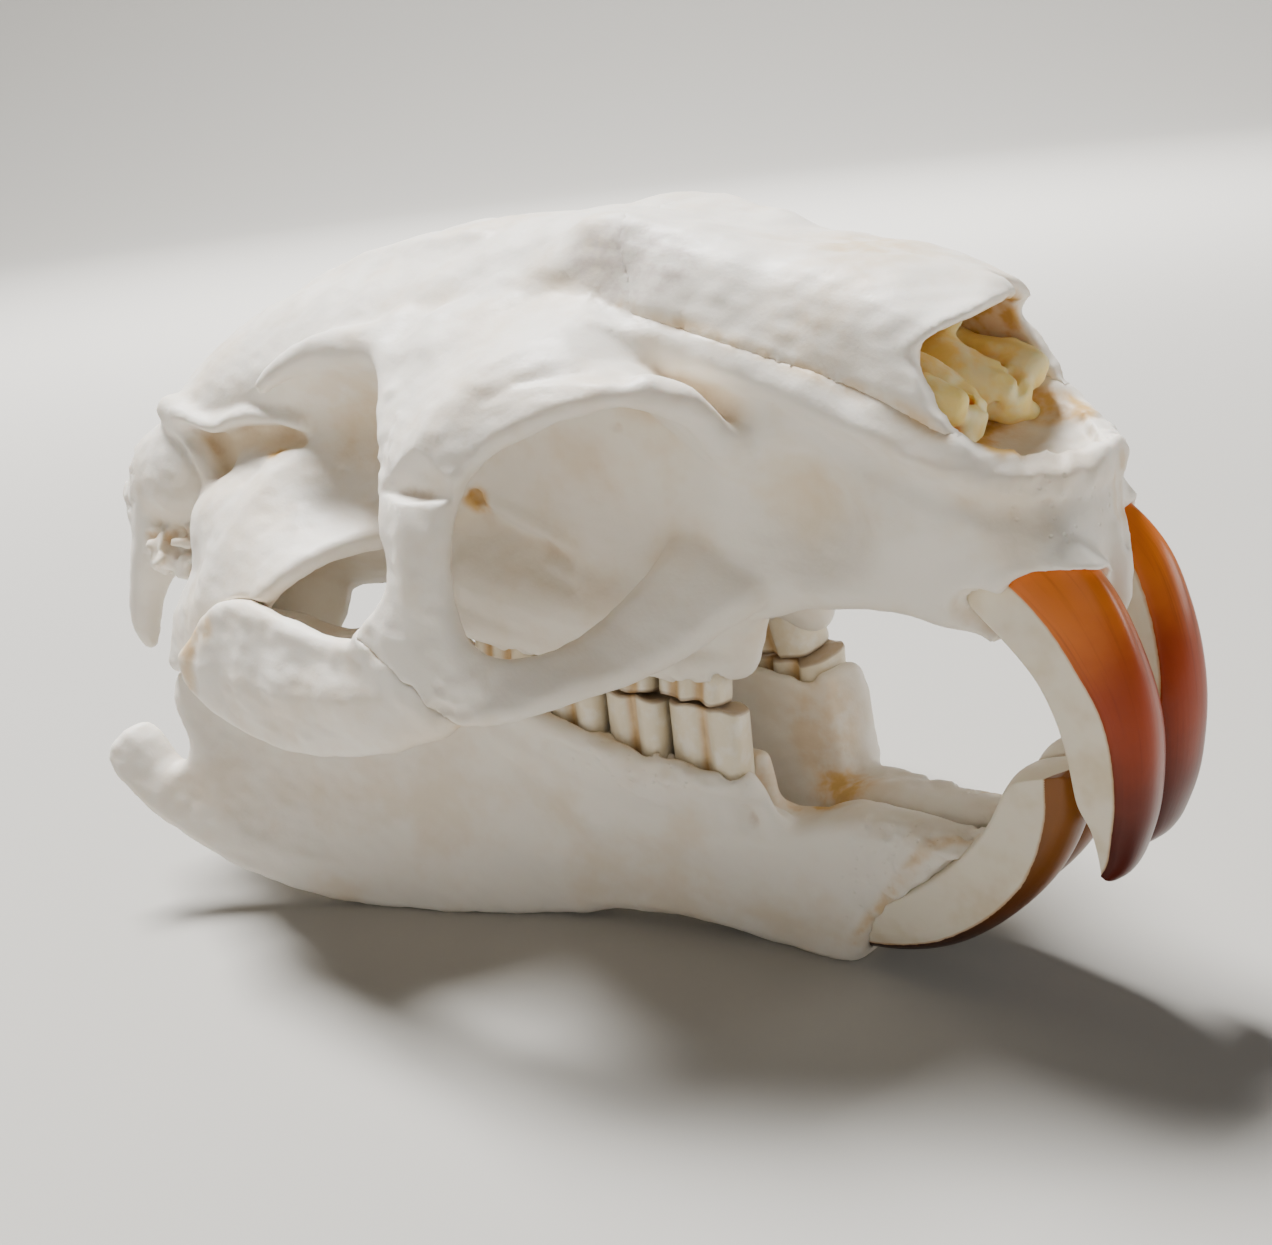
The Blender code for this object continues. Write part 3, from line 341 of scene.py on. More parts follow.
class Loft:
    """A solid through cross-sections: at each x, half an outline from top to bottom."""

    def __init__(self, sections: Sequence[tuple[float, Rows]], ends: float) -> None:
        """Keep stations, outlines and how round the ends are."""
        self.stations = np.array([x for x, _ in sections], float)
        self.outlines = np.array([outline for _, outline in sections], float)
        self.ends = ends
        heights = self.outlines[..., 1]
        self.low = np.array([self.stations[0], 0.0, heights.min()])
        self.high = np.array([self.stations[-1], self.outlines[..., 0].max(), heights.max()])

    def section(self, x: float) -> Array:
        """The outline at one x: a Hermite curve between stations, then a fine line."""
        k = int(np.clip(np.searchsorted(self.stations, x) - 1, 0, len(self.stations) - 2))
        x0, x1 = self.stations[k], self.stations[k + 1]
        t = np.clip((x - x0) / (x1 - x0), 0.0, 1.0)
        a, b = self.outlines[k], self.outlines[k + 1]
        before, after = max(k - 1, 0), min(k + 2, len(self.stations) - 1)
        step = x1 - x0
        ta = (b - self.outlines[before]) / max(x1 - self.stations[before], 1e-6) * step
        tb = (self.outlines[after] - a) / max(self.stations[after] - x0, 1e-6) * step
        line = ((2 * t**3 - 3 * t**2 + 1) * a + (t**3 - 2 * t**2 + t) * ta
                + (3 * t**2 - 2 * t**3) * b + (t**3 - t**2) * tb)
        flip = np.array([-1.0, 1.0])
        return spline(line, 4, (line[1] * flip, line[-2] * flip))

    def distance(self, x: Array, s: Array, z: Array) -> Array:
        """Distance in each cross-section's plane, closed at both ends."""
        values = np.empty(np.broadcast_shapes(x.shape, s.shape, z.shape), np.float32)
        for i, place in enumerate(x[:, 0, 0]):
            values[i] = outline_distance(self.section(place), s[0], z[0])
        ends = np.maximum(self.stations[0] - x, x - self.stations[-1])
        return smooth_max(values, ends, self.ends)


class Slab:
    """A side outline in x and z that runs through the skull between two widths."""

    def __init__(self, outline: Rows, sides: tuple[float, float] = (-5.0, 40.0)) -> None:
        """Smooth the outline and keep its box."""
        self.outline = smooth_loop(outline)
        self.sides = sides
        (x_low, z_low), (x_high, z_high) = np.min(outline, axis=0), np.max(outline, axis=0)
        self.low = np.array([x_low, sides[0], z_low])
        self.high = np.array([x_high, sides[1], z_high])

    def distance(self, x: Array, s: Array, z: Array) -> Array:
        """Distance from the outline, cut off at both widths."""
        flat = outline_distance(self.outline, x[:, 0, :], z[0, 0, :][None, :], closed=True)
        across = np.maximum(self.sides[0] - s, s - self.sides[1])
        return smooth_max(flat[:, None, :], across, 1.0)


class Volume:
    """Signed distances to one solid on a regular lattice."""

    def __init__(self, axes: Sequence[Array], values: Array | None = None) -> None:
        """A lattice on three axes, empty if no values are given."""
        self.axes = list(axes)
        empty = [len(axis) for axis in self.axes]
        self.values = np.full(empty, FAR, np.float32) if values is None else values

    @classmethod
    def between(cls, low: Sequence[float], high: Sequence[float]) -> "Volume":
        """An empty lattice between two corners, on whole cells from the midplane."""
        low = np.floor(np.array(low, float) / CELL) * CELL
        counts = np.ceil((np.array(high, float) - low) / CELL).astype(int) + 1
        return cls([low[i] + CELL * np.arange(counts[i]) for i in range(3)])

    def everywhere(self) -> tuple[Array, Array, Array]:
        """The coordinates of all cells, ready to be combined."""
        x, s, z = self.axes
        return x[:, None, None], s[None, :, None], z[None, None, :]

    def window(self, low: Array, high: Array) -> tuple[tuple[slice, ...], Array, Array, Array]:
        """The cells inside a box, with their coordinates."""
        cut = tuple(slice(np.searchsorted(axis, a), np.searchsorted(axis, b, "right"))
                    for axis, a, b in zip(self.axes, low, high))
        x, s, z = (axis[c] for axis, c in zip(self.axes, cut))
        return cut, x[:, None, None], s[None, :, None], z[None, None, :]

    def join(self, shape: Shape, blend: float = 1.5) -> None:
        """Add a shape, with a fillet where it meets what is there."""
        reach = blend + 1.2
        cut, x, s, z = self.window(shape.low - reach, shape.high + reach)
        self.values[cut] = smooth_min(self.values[cut], shape.distance(x, s, z), blend)

    def join_all(self, forms: Forms) -> None:
        """Add shapes one after another, each with its own fillet."""
        for shape, blend in forms:
            self.join(shape, blend)

    def carve(self, shape: Shape, blend: float = 1.0, grow: float = 0.0) -> None:
        """Take a shape away, grown if wanted, with its rim rounded."""
        reach = blend + grow + 1.2
        cut, x, s, z = self.window(shape.low - reach, shape.high + reach)
        self.values[cut] = smooth_max(self.values[cut], grow - shape.distance(x, s, z), blend)

    def limit(self, wanted: Array, blend: float = 0.0) -> None:
        """Keep only what lies inside another field on the same cells."""
        self.values = smooth_max(self.values, wanted, blend).astype(np.float32)

    def clear_of(self, other: "Volume", gap: float) -> None:
        """Cut back what comes nearer to another solid than a gap. Both share a lattice."""
        here, there = [], []
        for a, b in zip(self.axes, other.axes):
            shift = round((b[0] - a[0]) / CELL)
            first, last = max(0, shift), min(len(a), len(b) + shift)
            here.append(slice(first, last))
            there.append(slice(first - shift, last - shift))
        mine, theirs = tuple(here), tuple(there)
        self.values[mine] = np.maximum(self.values[mine], gap - other.values[theirs])

    def press(self, line: Rows, radius: float, depth: float) -> None:
        """Push the surface in along a chain of (x, s, z) points, or out by a negative depth.

        The field rises by depth * exp(-(d / radius) ** 2), d being the distance to the chain.
        """
        spots = [(*spot, 0.0) for spot in line]
        chain = Rod(spots, 4) if len(spots) > 1 else Rod(spots * 2)
        reach = 2.4 * radius
        cut, x, s, z = self.window(chain.low - reach, chain.high + reach)
        self.values[cut] += (depth * bell(chain.distance(x, s, z), radius)).astype(np.float32)

    def roughen(self, where: Ball, ripple: Ripple, depth: float) -> None:
        """Break up the surface inside a ball, fading out towards its skin."""
        cut, x, s, z = self.window(where.low, where.high)
        inside = where.distance(x, s, z)
        weight = ease(-inside, 0.0, 0.35 * where.radii.min())
        spots = np.stack(np.broadcast_arrays(x, s, z), -1)
        self.values[cut] += (weight * depth * ripple.at(spots)).astype(np.float32)

    def weather(self, marks: Marks, holes: Rows = (), broken: Broken = (), seed: int = 0) -> None:
        """Lines, small holes for nerves and vessels, and broken places.

        Args:
            marks: lines that are pressed in or raised.
            holes: x, s, z and radius of each hole.
            broken: places with a rough surface.
            seed: for how rough each is where.
        """
        for line, radius, depth in marks:
            self.press(line, radius, depth)
        for *centre, radius in holes:
            self.carve(Ball(centre, [radius] * 3), 0.25)
        for centre, radii, length, depth in broken:
            self.roughen(Ball(centre, radii), Ripple(length, seed), depth)

    def part(self, low: Sequence[float], high: Sequence[float], values: Array) -> "Volume":
        """The cells inside a box, as a lattice of its own, with values given for the whole."""
        cut, _, _, _ = self.window(np.array(low), np.array(high))
        return Volume([axis[c] for axis, c in zip(self.axes, cut)], values[cut].astype(np.float32))

    def placed(self, side: Side) -> "Volume":
        """The field of the left half as it is, of the right as its mirror image, or both."""
        x, s, z = self.axes
        if side is Side.LEFT:
            return Volume([x, s, z], self.values.copy())
        if side is Side.RIGHT:
            return Volume([x, -s[::-1], z], self.values[:, ::-1].copy())
        both = np.concatenate([self.values[:, :0:-1], self.values], axis=1)
        return Volume([x, np.concatenate([-s[:0:-1], s]), z], both)

    def sample(self, points: Array) -> Array:
        """Values at scattered points, linear between the eight cells round each."""
        start = np.array([axis[0] for axis in self.axes])
        spot = np.clip((points - start) / CELL, 0, np.array(self.values.shape) - 1.001)
        cell = spot.astype(int)
        part = spot - cell
        total = np.zeros(len(points))
        for corner in np.ndindex(2, 2, 2):
            share = np.prod(np.where(corner, part, 1 - part), axis=1)
            total += share * self.values[tuple((cell + corner).T)]
        return total

    def slope(self, points: Array) -> Array:
        """The field's gradient at scattered points, from differences half a cell each way."""
        steps = np.eye(3) * CELL / 2
        return np.stack([(self.sample(points + e) - self.sample(points - e)) / CELL
                         for e in steps], axis=1)

    def crowding(self, radius: float) -> "Volume":
        """The share of solid round each cell, by two running means along each axis."""
        share = np.clip(0.5 - self.values / CELL, 0.0, 1.0).astype(np.float32)
        reach = max(1, round(radius / CELL / 2))
        for axis in range(3):
            for _ in range(2):
                pad = [(0, 0)] * 3
                pad[axis] = (reach + 1, reach)
                total = np.cumsum(np.pad(share, pad, mode="edge"), axis=axis, dtype=np.float64)
                ahead = [slice(None)] * 3
                behind = [slice(None)] * 3
                ahead[axis] = slice(2 * reach + 1, None)
                behind[axis] = slice(None, -(2 * reach + 1))
                share = ((total[tuple(ahead)] - total[tuple(behind)])
                         / (2 * reach + 1)).astype(np.float32)
        return Volume(self.axes, share)

    def surface(self) -> tuple[Array, Array]:
        """The zero surface as points and quads, each point pulled onto the field's zero."""
        grid = openvdb.FloatGrid(FAR)
        padded = np.pad(self.values, 1, constant_values=FAR).astype(np.float32)
        grid.copyFromArray(np.clip(padded, -3.0, 3.0) / CELL)
        points, _, quads = grid.convertToPolygons(isovalue=0.0, adaptivity=0.0)
        points = (points - 1.0) * CELL + np.array([axis[0] for axis in self.axes])
        for _ in range(2):
            slope = self.slope(points)
            size = np.maximum((slope * slope).sum(1), 0.2)
            step = np.clip(self.sample(points) / size, -CELL / 2, CELL / 2)
            points = points - slope * step[:, None]
        return points, quads


def keep_largest(points: Array, faces: Array) -> tuple[Array, Array]:
    """Drop every loose part but the one with the most points.

    Args:
        points: the mesh's points.
        faces: its quads.

    Returns:
        The points and quads that stay.
    """
    edges = np.concatenate([faces[:, [0, 1]], faces[:, [1, 2]], faces[:, [2, 3]]])
    label = np.arange(len(points))
    while True:
        low = np.minimum(label[edges[:, 0]], label[edges[:, 1]])
        fresh = label.copy()
        np.minimum.at(fresh, edges[:, 0], low)
        np.minimum.at(fresh, edges[:, 1], low)
        fresh = fresh[fresh]
        if np.array_equal(fresh, label):
            break
        label = fresh
    names, sizes = np.unique(label, return_counts=True)
    stay = label == names[np.argmax(sizes)]
    index = np.cumsum(stay) - 1
    return points[stay], index[faces[stay[faces[:, 0]]]]


def round_grid(rows: int, columns: int) -> Array:
    """Quads between neighbours on a grid whose rows close on themselves."""
    i, j = np.meshgrid(np.arange(rows - 1), np.arange(columns), indexing="ij")
    k = (j + 1) % columns
    quads = np.stack([i * columns + j, i * columns + k,
                      (i + 1) * columns + k, (i + 1) * columns + j], -1)
    return quads.reshape(-1, 4)


@dataclass
class Sweep:
    """A closed skin from rings of points: rings[i, j] is point j of ring i.

    Both ends are closed by rings that shrink towards their middle, then by a fan.
    """

    rings: Array
    shrink: tuple[float, ...]

    def mesh(self, name: str) -> Mesh:
        """The mesh, in the row frame, faces outwards, with its grid as a UV map."""
        rings = self.rings
        first, last = rings[0].mean(0), rings[-1].mean(0)
        heads = [first + (rings[0] - first) * f for f in self.shrink[::-1]]
        tails = [last + (rings[-1] - last) * f for f in self.shrink]
        rings = np.concatenate([np.array(heads).reshape(-1, *rings.shape[1:]), rings,
                                np.array(tails).reshape(-1, *rings.shape[1:])])
        rows, columns = rings.shape[:2]
        points = np.concatenate([rings.reshape(-1, 3), [first, last]])
        quads = round_grid(rows, columns)
        foot = (rows - 1) * columns
        ring = np.arange(columns)
        after = (ring + 1) % columns
        caps = np.concatenate([
            np.stack([after, ring, np.full(columns, rows * columns)], 1),
            np.stack([foot + ring, foot + after, np.full(columns, rows * columns + 1)], 1)])
        if self.volume(points, quads, caps) < 0:
            quads, caps = quads[:, ::-1], caps[:, ::-1]
        made = bpy.data.meshes.new(name)
        made.from_pydata(to_row(points), [], quads.tolist() + caps.tolist())
        u = np.tile(np.arange(columns) / columns, rows)
        v = np.repeat(np.arange(rows) / (rows - 1), columns)
        spots = np.stack([np.append(u, [0.5, 0.5]), np.append(v, [0.0, 1.0])], 1)
        corners = np.empty(len(made.loops), np.int32)
        made.loops.foreach_get("vertex_index", corners)
        layer = made.uv_layers.new(name="round_and_along")
        layer.data.foreach_set("uv", spots[corners].astype(np.float32).ravel())
        return made

    @staticmethod
    def volume(points: Array, *faces: Array) -> float:
        """Six times what a closed skin holds, positive where its faces point outwards."""
        total = 0.0
        for face in faces:
            corners = [points[face[:, k]] for k in range(face.shape[1])]
            for b, c in zip(corners[1:-1], corners[2:]):
                total += float(np.einsum("ij,ij->", corners[0], np.cross(b, c)))
        return total

    def spread(self, values: Array) -> Array:
        """One value for each point of the rings, carried over to the points of the caps."""
        count = len(self.shrink)
        padded = np.concatenate([np.repeat(values[:1], count, 0), values,
                                 np.repeat(values[-1:], count, 0)])
        return np.append(padded.ravel(), [values[0].mean(), values[-1].mean()])


def paint(mesh: Mesh, **values: Array) -> None:
    """Store named numbers on a mesh's points, for its material to read."""
    for name, numbers in values.items():
        layer = mesh.attributes.new(name, "FLOAT", "POINT")
        layer.data.foreach_set("value", numbers.astype(np.float32))


def points_of(mesh: Mesh) -> Array:
    """A mesh's points back in the skull's frame, millimetres."""
    flat = np.empty(3 * len(mesh.vertices), np.float32)
    mesh.vertices.foreach_get("co", flat)
    return flat.reshape(-1, 3) / MM + np.array([MIDDLE_X, 0.0, FLAT])


def in_scene(name: str, data: bpy.types.ID) -> Object:
    """A new object of the scene that shows a mesh, a lamp or a camera."""
    thing = bpy.data.objects.new(name, data)
    bpy.context.scene.collection.objects.link(thing)
    return thing


def show(mesh: Mesh, finish: Material,
         replaces: Sequence[str] = ()) -> Object:
    """Put a finished mesh in the scene as a piece of the skull.

    Args:
        mesh: the piece, in the row frame.
        finish: its material.
        replaces: the solids that it stands for.

    Returns:
        The piece.
    """
    piece = in_scene(mesh.name, mesh)
    mesh.materials.append(finish)
    mesh.shade_smooth()
    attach(piece, "root")
    if replaces:
        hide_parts(*replaces)
    log.info("%s: %d triangles", piece.name, sum(len(p.vertices) - 2 for p in mesh.polygons))
    return piece


def thinned(mesh: Mesh, budget: int) -> Mesh:
    """The mesh with edges collapsed until it fits a number of triangles."""
    holder = in_scene("holder", mesh)
    modifier = holder.modifiers.new("Thin", "DECIMATE")
    modifier.ratio = min(1.0, budget / (2 * len(mesh.polygons)))
    graph = bpy.context.evaluated_depsgraph_get()
    lean = bpy.data.meshes.new_from_object(holder.evaluated_get(graph))
    name = mesh.name
    bpy.data.objects.remove(holder)
    bpy.data.meshes.remove(mesh)
    lean.name = name
    return lean


@dataclass(frozen=True)
class Grain:
    """How uneven a bone's skin is: broad and fine swells, millimetres."""

    broad: float = 0.07
    fine: float = 0.025
    seed: int = 3

    def height(self, points: Array) -> Array:
        """How far each point moves outwards."""
        return (self.broad * Ripple(6.5, self.seed).at(points)
                + self.fine * Ripple(1.9, self.seed + 1).at(points))


@dataclass
class BonePiece:
    """A bone worked out as a field, turned into a dressed mesh."""

    name: str
    volume: Volume
    replaces: tuple[str, ...]
    stains: Stains = ()
    rough: Sequence[Ball] = ()
    matt: Sequence[Ball] = ()
    grain: Grain = Grain()
    budget: int = PIECE_TRIANGLES

    def build(self, finish: Material) -> Object:
        """Polygonize, add the skin's unevenness, thin, and store what the material reads."""
        points, quads = keep_largest(*self.volume.surface())
        normals = self.volume.slope(points)
        normals /= np.maximum(np.linalg.norm(normals, axis=1), 1e-6)[:, None]
        points = points + normals * self.grain.height(points)[:, None]
        points[:, 2] = np.maximum(points[:, 2], FLAT)
        mesh = bpy.data.meshes.new(self.name)
        mesh.from_pydata(to_row(points), [], quads.tolist())
        mesh = thinned(mesh, self.budget)
        spots = points_of(mesh)
        # The first two numbers, how much bone lies round each point close by and farther out, are where
        # the material paints shade in crevices and hollows.
        paint(mesh,
              crevice=self.volume.crowding(1.4).sample(spots) - 0.5,
              hollow=self.volume.crowding(6.0).sample(spots) - 0.5,
              stain=self.stained(spots),
              porous=self.near(spots, self.rough),
              matt=self.near(spots, self.matt))
        return show(mesh, finish, self.replaces)

    def stained(self, spots: Array) -> Array:
        """How stained each point is, painted shade in a few hollows included: full on a mark's own shape,
        fading over its reach.
        """
        total = np.zeros(len(spots))
        for shape, reach, strength in self.stains:
            gap = np.maximum(shape.distance(*self.folded(spots)), 0.0)
            total = np.maximum(total, strength * bell(gap, reach))
        return total

    def near(self, spots: Array, places: Sequence[Ball]) -> Array:
        """How far inside one of some places each point lies: 1 in its middle, 0 outside."""
        total = np.zeros(len(spots))
        for ball in places:
            depth = -ball.distance(*self.folded(spots))
            total = np.maximum(total, ease(depth, 0.0, 0.4 * ball.radii.min()))
        return total

    @staticmethod
    def folded(spots: Array) -> tuple[Array, Array, Array]:
        """The coordinates x, s and z of points on either half."""
        return spots[:, 0], np.abs(spots[:, 1]), spots[:, 2]


def linear(hexa: str) -> tuple[float, float, float, float]:
    """An sRGB hex colour as linear red, green, blue and full alpha."""
    parts = [int(hexa[i:i + 2], 16) / 255 for i in (1, 3, 5)]
    r, g, b = (p / 12.92 if p <= 0.04045 else ((p + 0.055) / 1.055) ** 2.4 for p in parts)
    return (r, g, b, 1.0)


def add_node(tree: NodeTree, kind: str, settings: dict[str, Any] | None = None,
             links: dict[Any, NodeSocket] | None = None) -> Node:
    """Add a shader node.

    Args:
        tree: the material's node tree.
        kind: the node's type name.
        settings: properties, or values of input sockets, by name or number.
        links: sockets to link to inputs, by the input's name or number.

    Returns:
        The node.
    """
    node = tree.nodes.new(kind)
    for key, value in (settings or {}).items():
        if isinstance(key, str) and hasattr(node, key):
            setattr(node, key, value)
        else:
            node.inputs[key].default_value = value
    for key, socket in (links or {}).items():
        tree.links.new(socket, node.inputs[key])
    return node


def blank(name: str, settings: dict[str, Any]) -> tuple[Material, NodeTree, Node]:
    """A new material with its tree and its main shader, constant values set on its sockets."""
    material = bpy.data.materials.new(name)
    material.use_nodes = True
    tree = material.node_tree
    shader = tree.nodes["Principled BSDF"]
    for key, value in settings.items():
        shader.inputs[key].default_value = value
    return material, tree, shader


class Tints:
    """Lays colours over one another in a node tree, each where a mask says."""

    def __init__(self, tree: NodeTree, base: str) -> None:
        """Start from one flat colour."""
        self.tree = tree
        self.socket = add_node(tree, "ShaderNodeRGB").outputs[0]
        self.socket.default_value = linear(base)

    def lay(self, colour: str, mask: NodeSocket, blend: str = "MIX") -> None:
        """Mix a colour in by a mask from 0 to 1."""
        node = add_node(self.tree, "ShaderNodeMix",
                        {"data_type": "RGBA", "blend_type": blend, "clamp_factor": True},
                        {0: mask, 6: self.socket})
        node.inputs[7].default_value = linear(colour)
        self.socket = node.outputs[2]


def attribute(tree: NodeTree, name: str) -> NodeSocket:
    """The number that a piece's points carry under a name."""
    return add_node(tree, "ShaderNodeAttribute", {"attribute_name": name}).outputs["Fac"]


def band(tree: NodeTree, socket: NodeSocket, low: float, high: float, top: float = 1.0,
         bottom: float = 0.0, kind: str = "SMOOTHSTEP") -> NodeSocket:
    """`bottom` below `low`, `top` above `high`, smooth in between or straight."""
    return add_node(tree, "ShaderNodeMapRange",
                    {"interpolation_type": kind, 1: low, 2: high, 3: bottom, 4: top},
                    {0: socket}).outputs[0]


def sums(tree: NodeTree, kind: str, a: NodeSocket,
         b: NodeSocket | float) -> NodeSocket:
    """One step of arithmetic on sockets or numbers."""
    node = add_node(tree, "ShaderNodeMath", {"operation": kind}, {0: a})
    if isinstance(b, float):
        node.inputs[1].default_value = b
    else:
        tree.links.new(b, node.inputs[1])
    return node.outputs[0]


def plus(tree: NodeTree, a: NodeSocket, b: NodeSocket, share: float) -> NodeSocket:
    """One number and a share of another."""
    return sums(tree, "ADD", a, sums(tree, "MULTIPLY", b, share))


def noise(tree: NodeTree, length: float, detail: float = 3.0,
          rough: float = 0.55) -> NodeSocket:
    """Noise on object coordinates whose lumps are about `length` millimetres."""
    place = add_node(tree, "ShaderNodeTexCoord").outputs["Object"]
    node = add_node(tree, "ShaderNodeTexNoise",
                    {"Scale": 1.0 / (length * MM), "Detail": detail, "Roughness": rough},
                    {"Vector": place})
    return node.outputs["Fac"]


def bump(tree: NodeTree, shader: Node, height: NodeSocket, strength: float, depth: float) -> None:
    """Let a height from 0 to 1, which stands for a depth in millimetres, tilt the surface."""
    node = add_node(tree, "ShaderNodeBump", {"Strength": strength, "Distance": depth * MM},
                    {"Height": height})
    tree.links.new(node.outputs[0], shader.inputs["Normal"])


@dataclass(frozen=True)
class BleachedBone:
    """Dry bone, boiled and bleached white: matt to satin, cream in its hollows partly as painted shade.

    The eye sees an ivory white with faint warm clouds, cream and tan in the hollows and
    crevices, partly the bone's own tone and partly painted shade, yellow at sutures and roots,
    and pin pores of a few tenths of a millimetre.
    """

    name: str = "bleached_bone"
    white: str = "#F3ECE0"
    cloud: str = "#E9DAC4"
    cream: str = "#DEC8A2"
    tan: str = "#B08C5C"
    yellow: str = "#D2A348"
    brown: str = "#7C4A1C"
    matt: str = "#E2D6CC"

    def material(self) -> Material:
        """Colours by painted shade in hollows and crevices, by stains and by noise; pores and grain as
        bump.
        """
        made, tree, shader = blank(self.name, {
            "IOR": 1.5, "Subsurface Weight": 0.12, "Subsurface Radius": (1.0, 0.62, 0.38),
            "Subsurface Scale": 1.6 * MM})
        crevice, hollow = attribute(tree, "crevice"), attribute(tree, "hollow")
        stain, porous = attribute(tree, "stain"), attribute(tree, "porous")
        clouds, specks = noise(tree, 9.0, 4.0), noise(tree, 0.8, 2.0)
        tints = Tints(tree, self.white)
        tints.lay(self.cloud, band(tree, clouds, 0.44, 0.70, 0.8))
        mottle = sums(tree, "MULTIPLY", attribute(tree, "matt"),
                      band(tree, noise(tree, 1.1, 4.0), 0.36, 0.62))
        tints.lay(self.matt, mottle)
        # Painted shade: cream, then tan, where much bone lies round a point, in hollows and in crevices;
        # partly the bone's own cream in its recesses.
        dip = plus(tree, hollow, clouds, 0.16)
        tints.lay(self.cream, band(tree, dip, 0.10, 0.30, 0.75))
        tints.lay(self.tan, band(tree, dip, 0.24, 0.46, 0.7))
        painted_crevice_shade = plus(tree, crevice, specks, 0.10)
        tints.lay(self.tan, band(tree, painted_crevice_shade, 0.12, 0.34, 0.55))
        uneven = sums(tree, "ADD", band(tree, noise(tree, 2.6, 3.0), 0.35, 0.62, 0.5), 0.5)
        blotch = sums(tree, "MULTIPLY", stain, uneven)
        tints.lay(self.yellow, band(tree, blotch, 0.05, 0.85, 0.9))
        tints.lay(self.brown, band(tree, blotch, 0.70, 1.25, 0.8))
        tree.links.new(tints.socket, shader.inputs["Base Color"])
        gloss = band(tree, noise(tree, 3.0, 3.0), 0.3, 0.7, 0.60, 0.42, "LINEAR")
        tree.links.new(gloss, shader.inputs["Roughness"])
        place = add_node(tree, "ShaderNodeTexCoord").outputs["Object"]
        pits = add_node(tree, "ShaderNodeTexVoronoi", {"Scale": 1.0 / (0.9 * MM)},
                        {"Vector": place}).outputs["Distance"]
        pit = band(tree, pits, 0.05, 0.26)
        deep = sums(tree, "MULTIPLY", sums(tree, "SUBTRACT", pit, 1.0),
                    sums(tree, "ADD", sums(tree, "MULTIPLY", porous, 0.5), 0.03))
        relief = plus(tree, deep, noise(tree, 0.5, 4.0), 0.22)
        bump(tree, shader, relief, 0.5, 0.25)
        return made


@dataclass(frozen=True)
class ThinBone:
    """Thin rolled bone inside the nose, yellow from dried tissue and nearly see-through.

    The eye sees straw yellow, amber in its folds and brown in the cracks between them, partly
    the dried tissue's colour and partly painted shade in the folds and cracks.
    """

    name: str = "thin_nose_bone"
    straw: str = "#FFDF8E"
    pale: str = "#FFF1C6"
    amber: str = "#E8992A"
    brown: str = "#7A3E0E"

    def material(self) -> Material:
        """Straw with pale clouds, darker as painted shade the deeper a place lies between its neighbours.
        """
        made, tree, shader = blank(self.name, {
            "Roughness": 0.5, "IOR": 1.5, "Subsurface Weight": 0.5,
            "Subsurface Radius": (1.0, 0.65, 0.3), "Subsurface Scale": 2.5 * MM})
        clouds = noise(tree, 3.2, 3.0)
        tints = Tints(tree, self.straw)
        tints.lay(self.pale, band(tree, clouds, 0.45, 0.65, 0.8))
        # Painted shade, partly the tissue's own amber: amber, then brown, the deeper a place lies between
        # its neighbours.
        fold = plus(tree, attribute(tree, "crevice"), clouds, 0.12)
        tints.lay(self.amber, band(tree, fold, 0.08, 0.34, 0.8))
        tints.lay(self.brown, band(tree, fold, 0.34, 0.60, 0.9))
        tree.links.new(tints.socket, shader.inputs["Base Color"])
        bump(tree, shader, noise(tree, 0.6, 4.0), 0.4, 0.15)
        return made


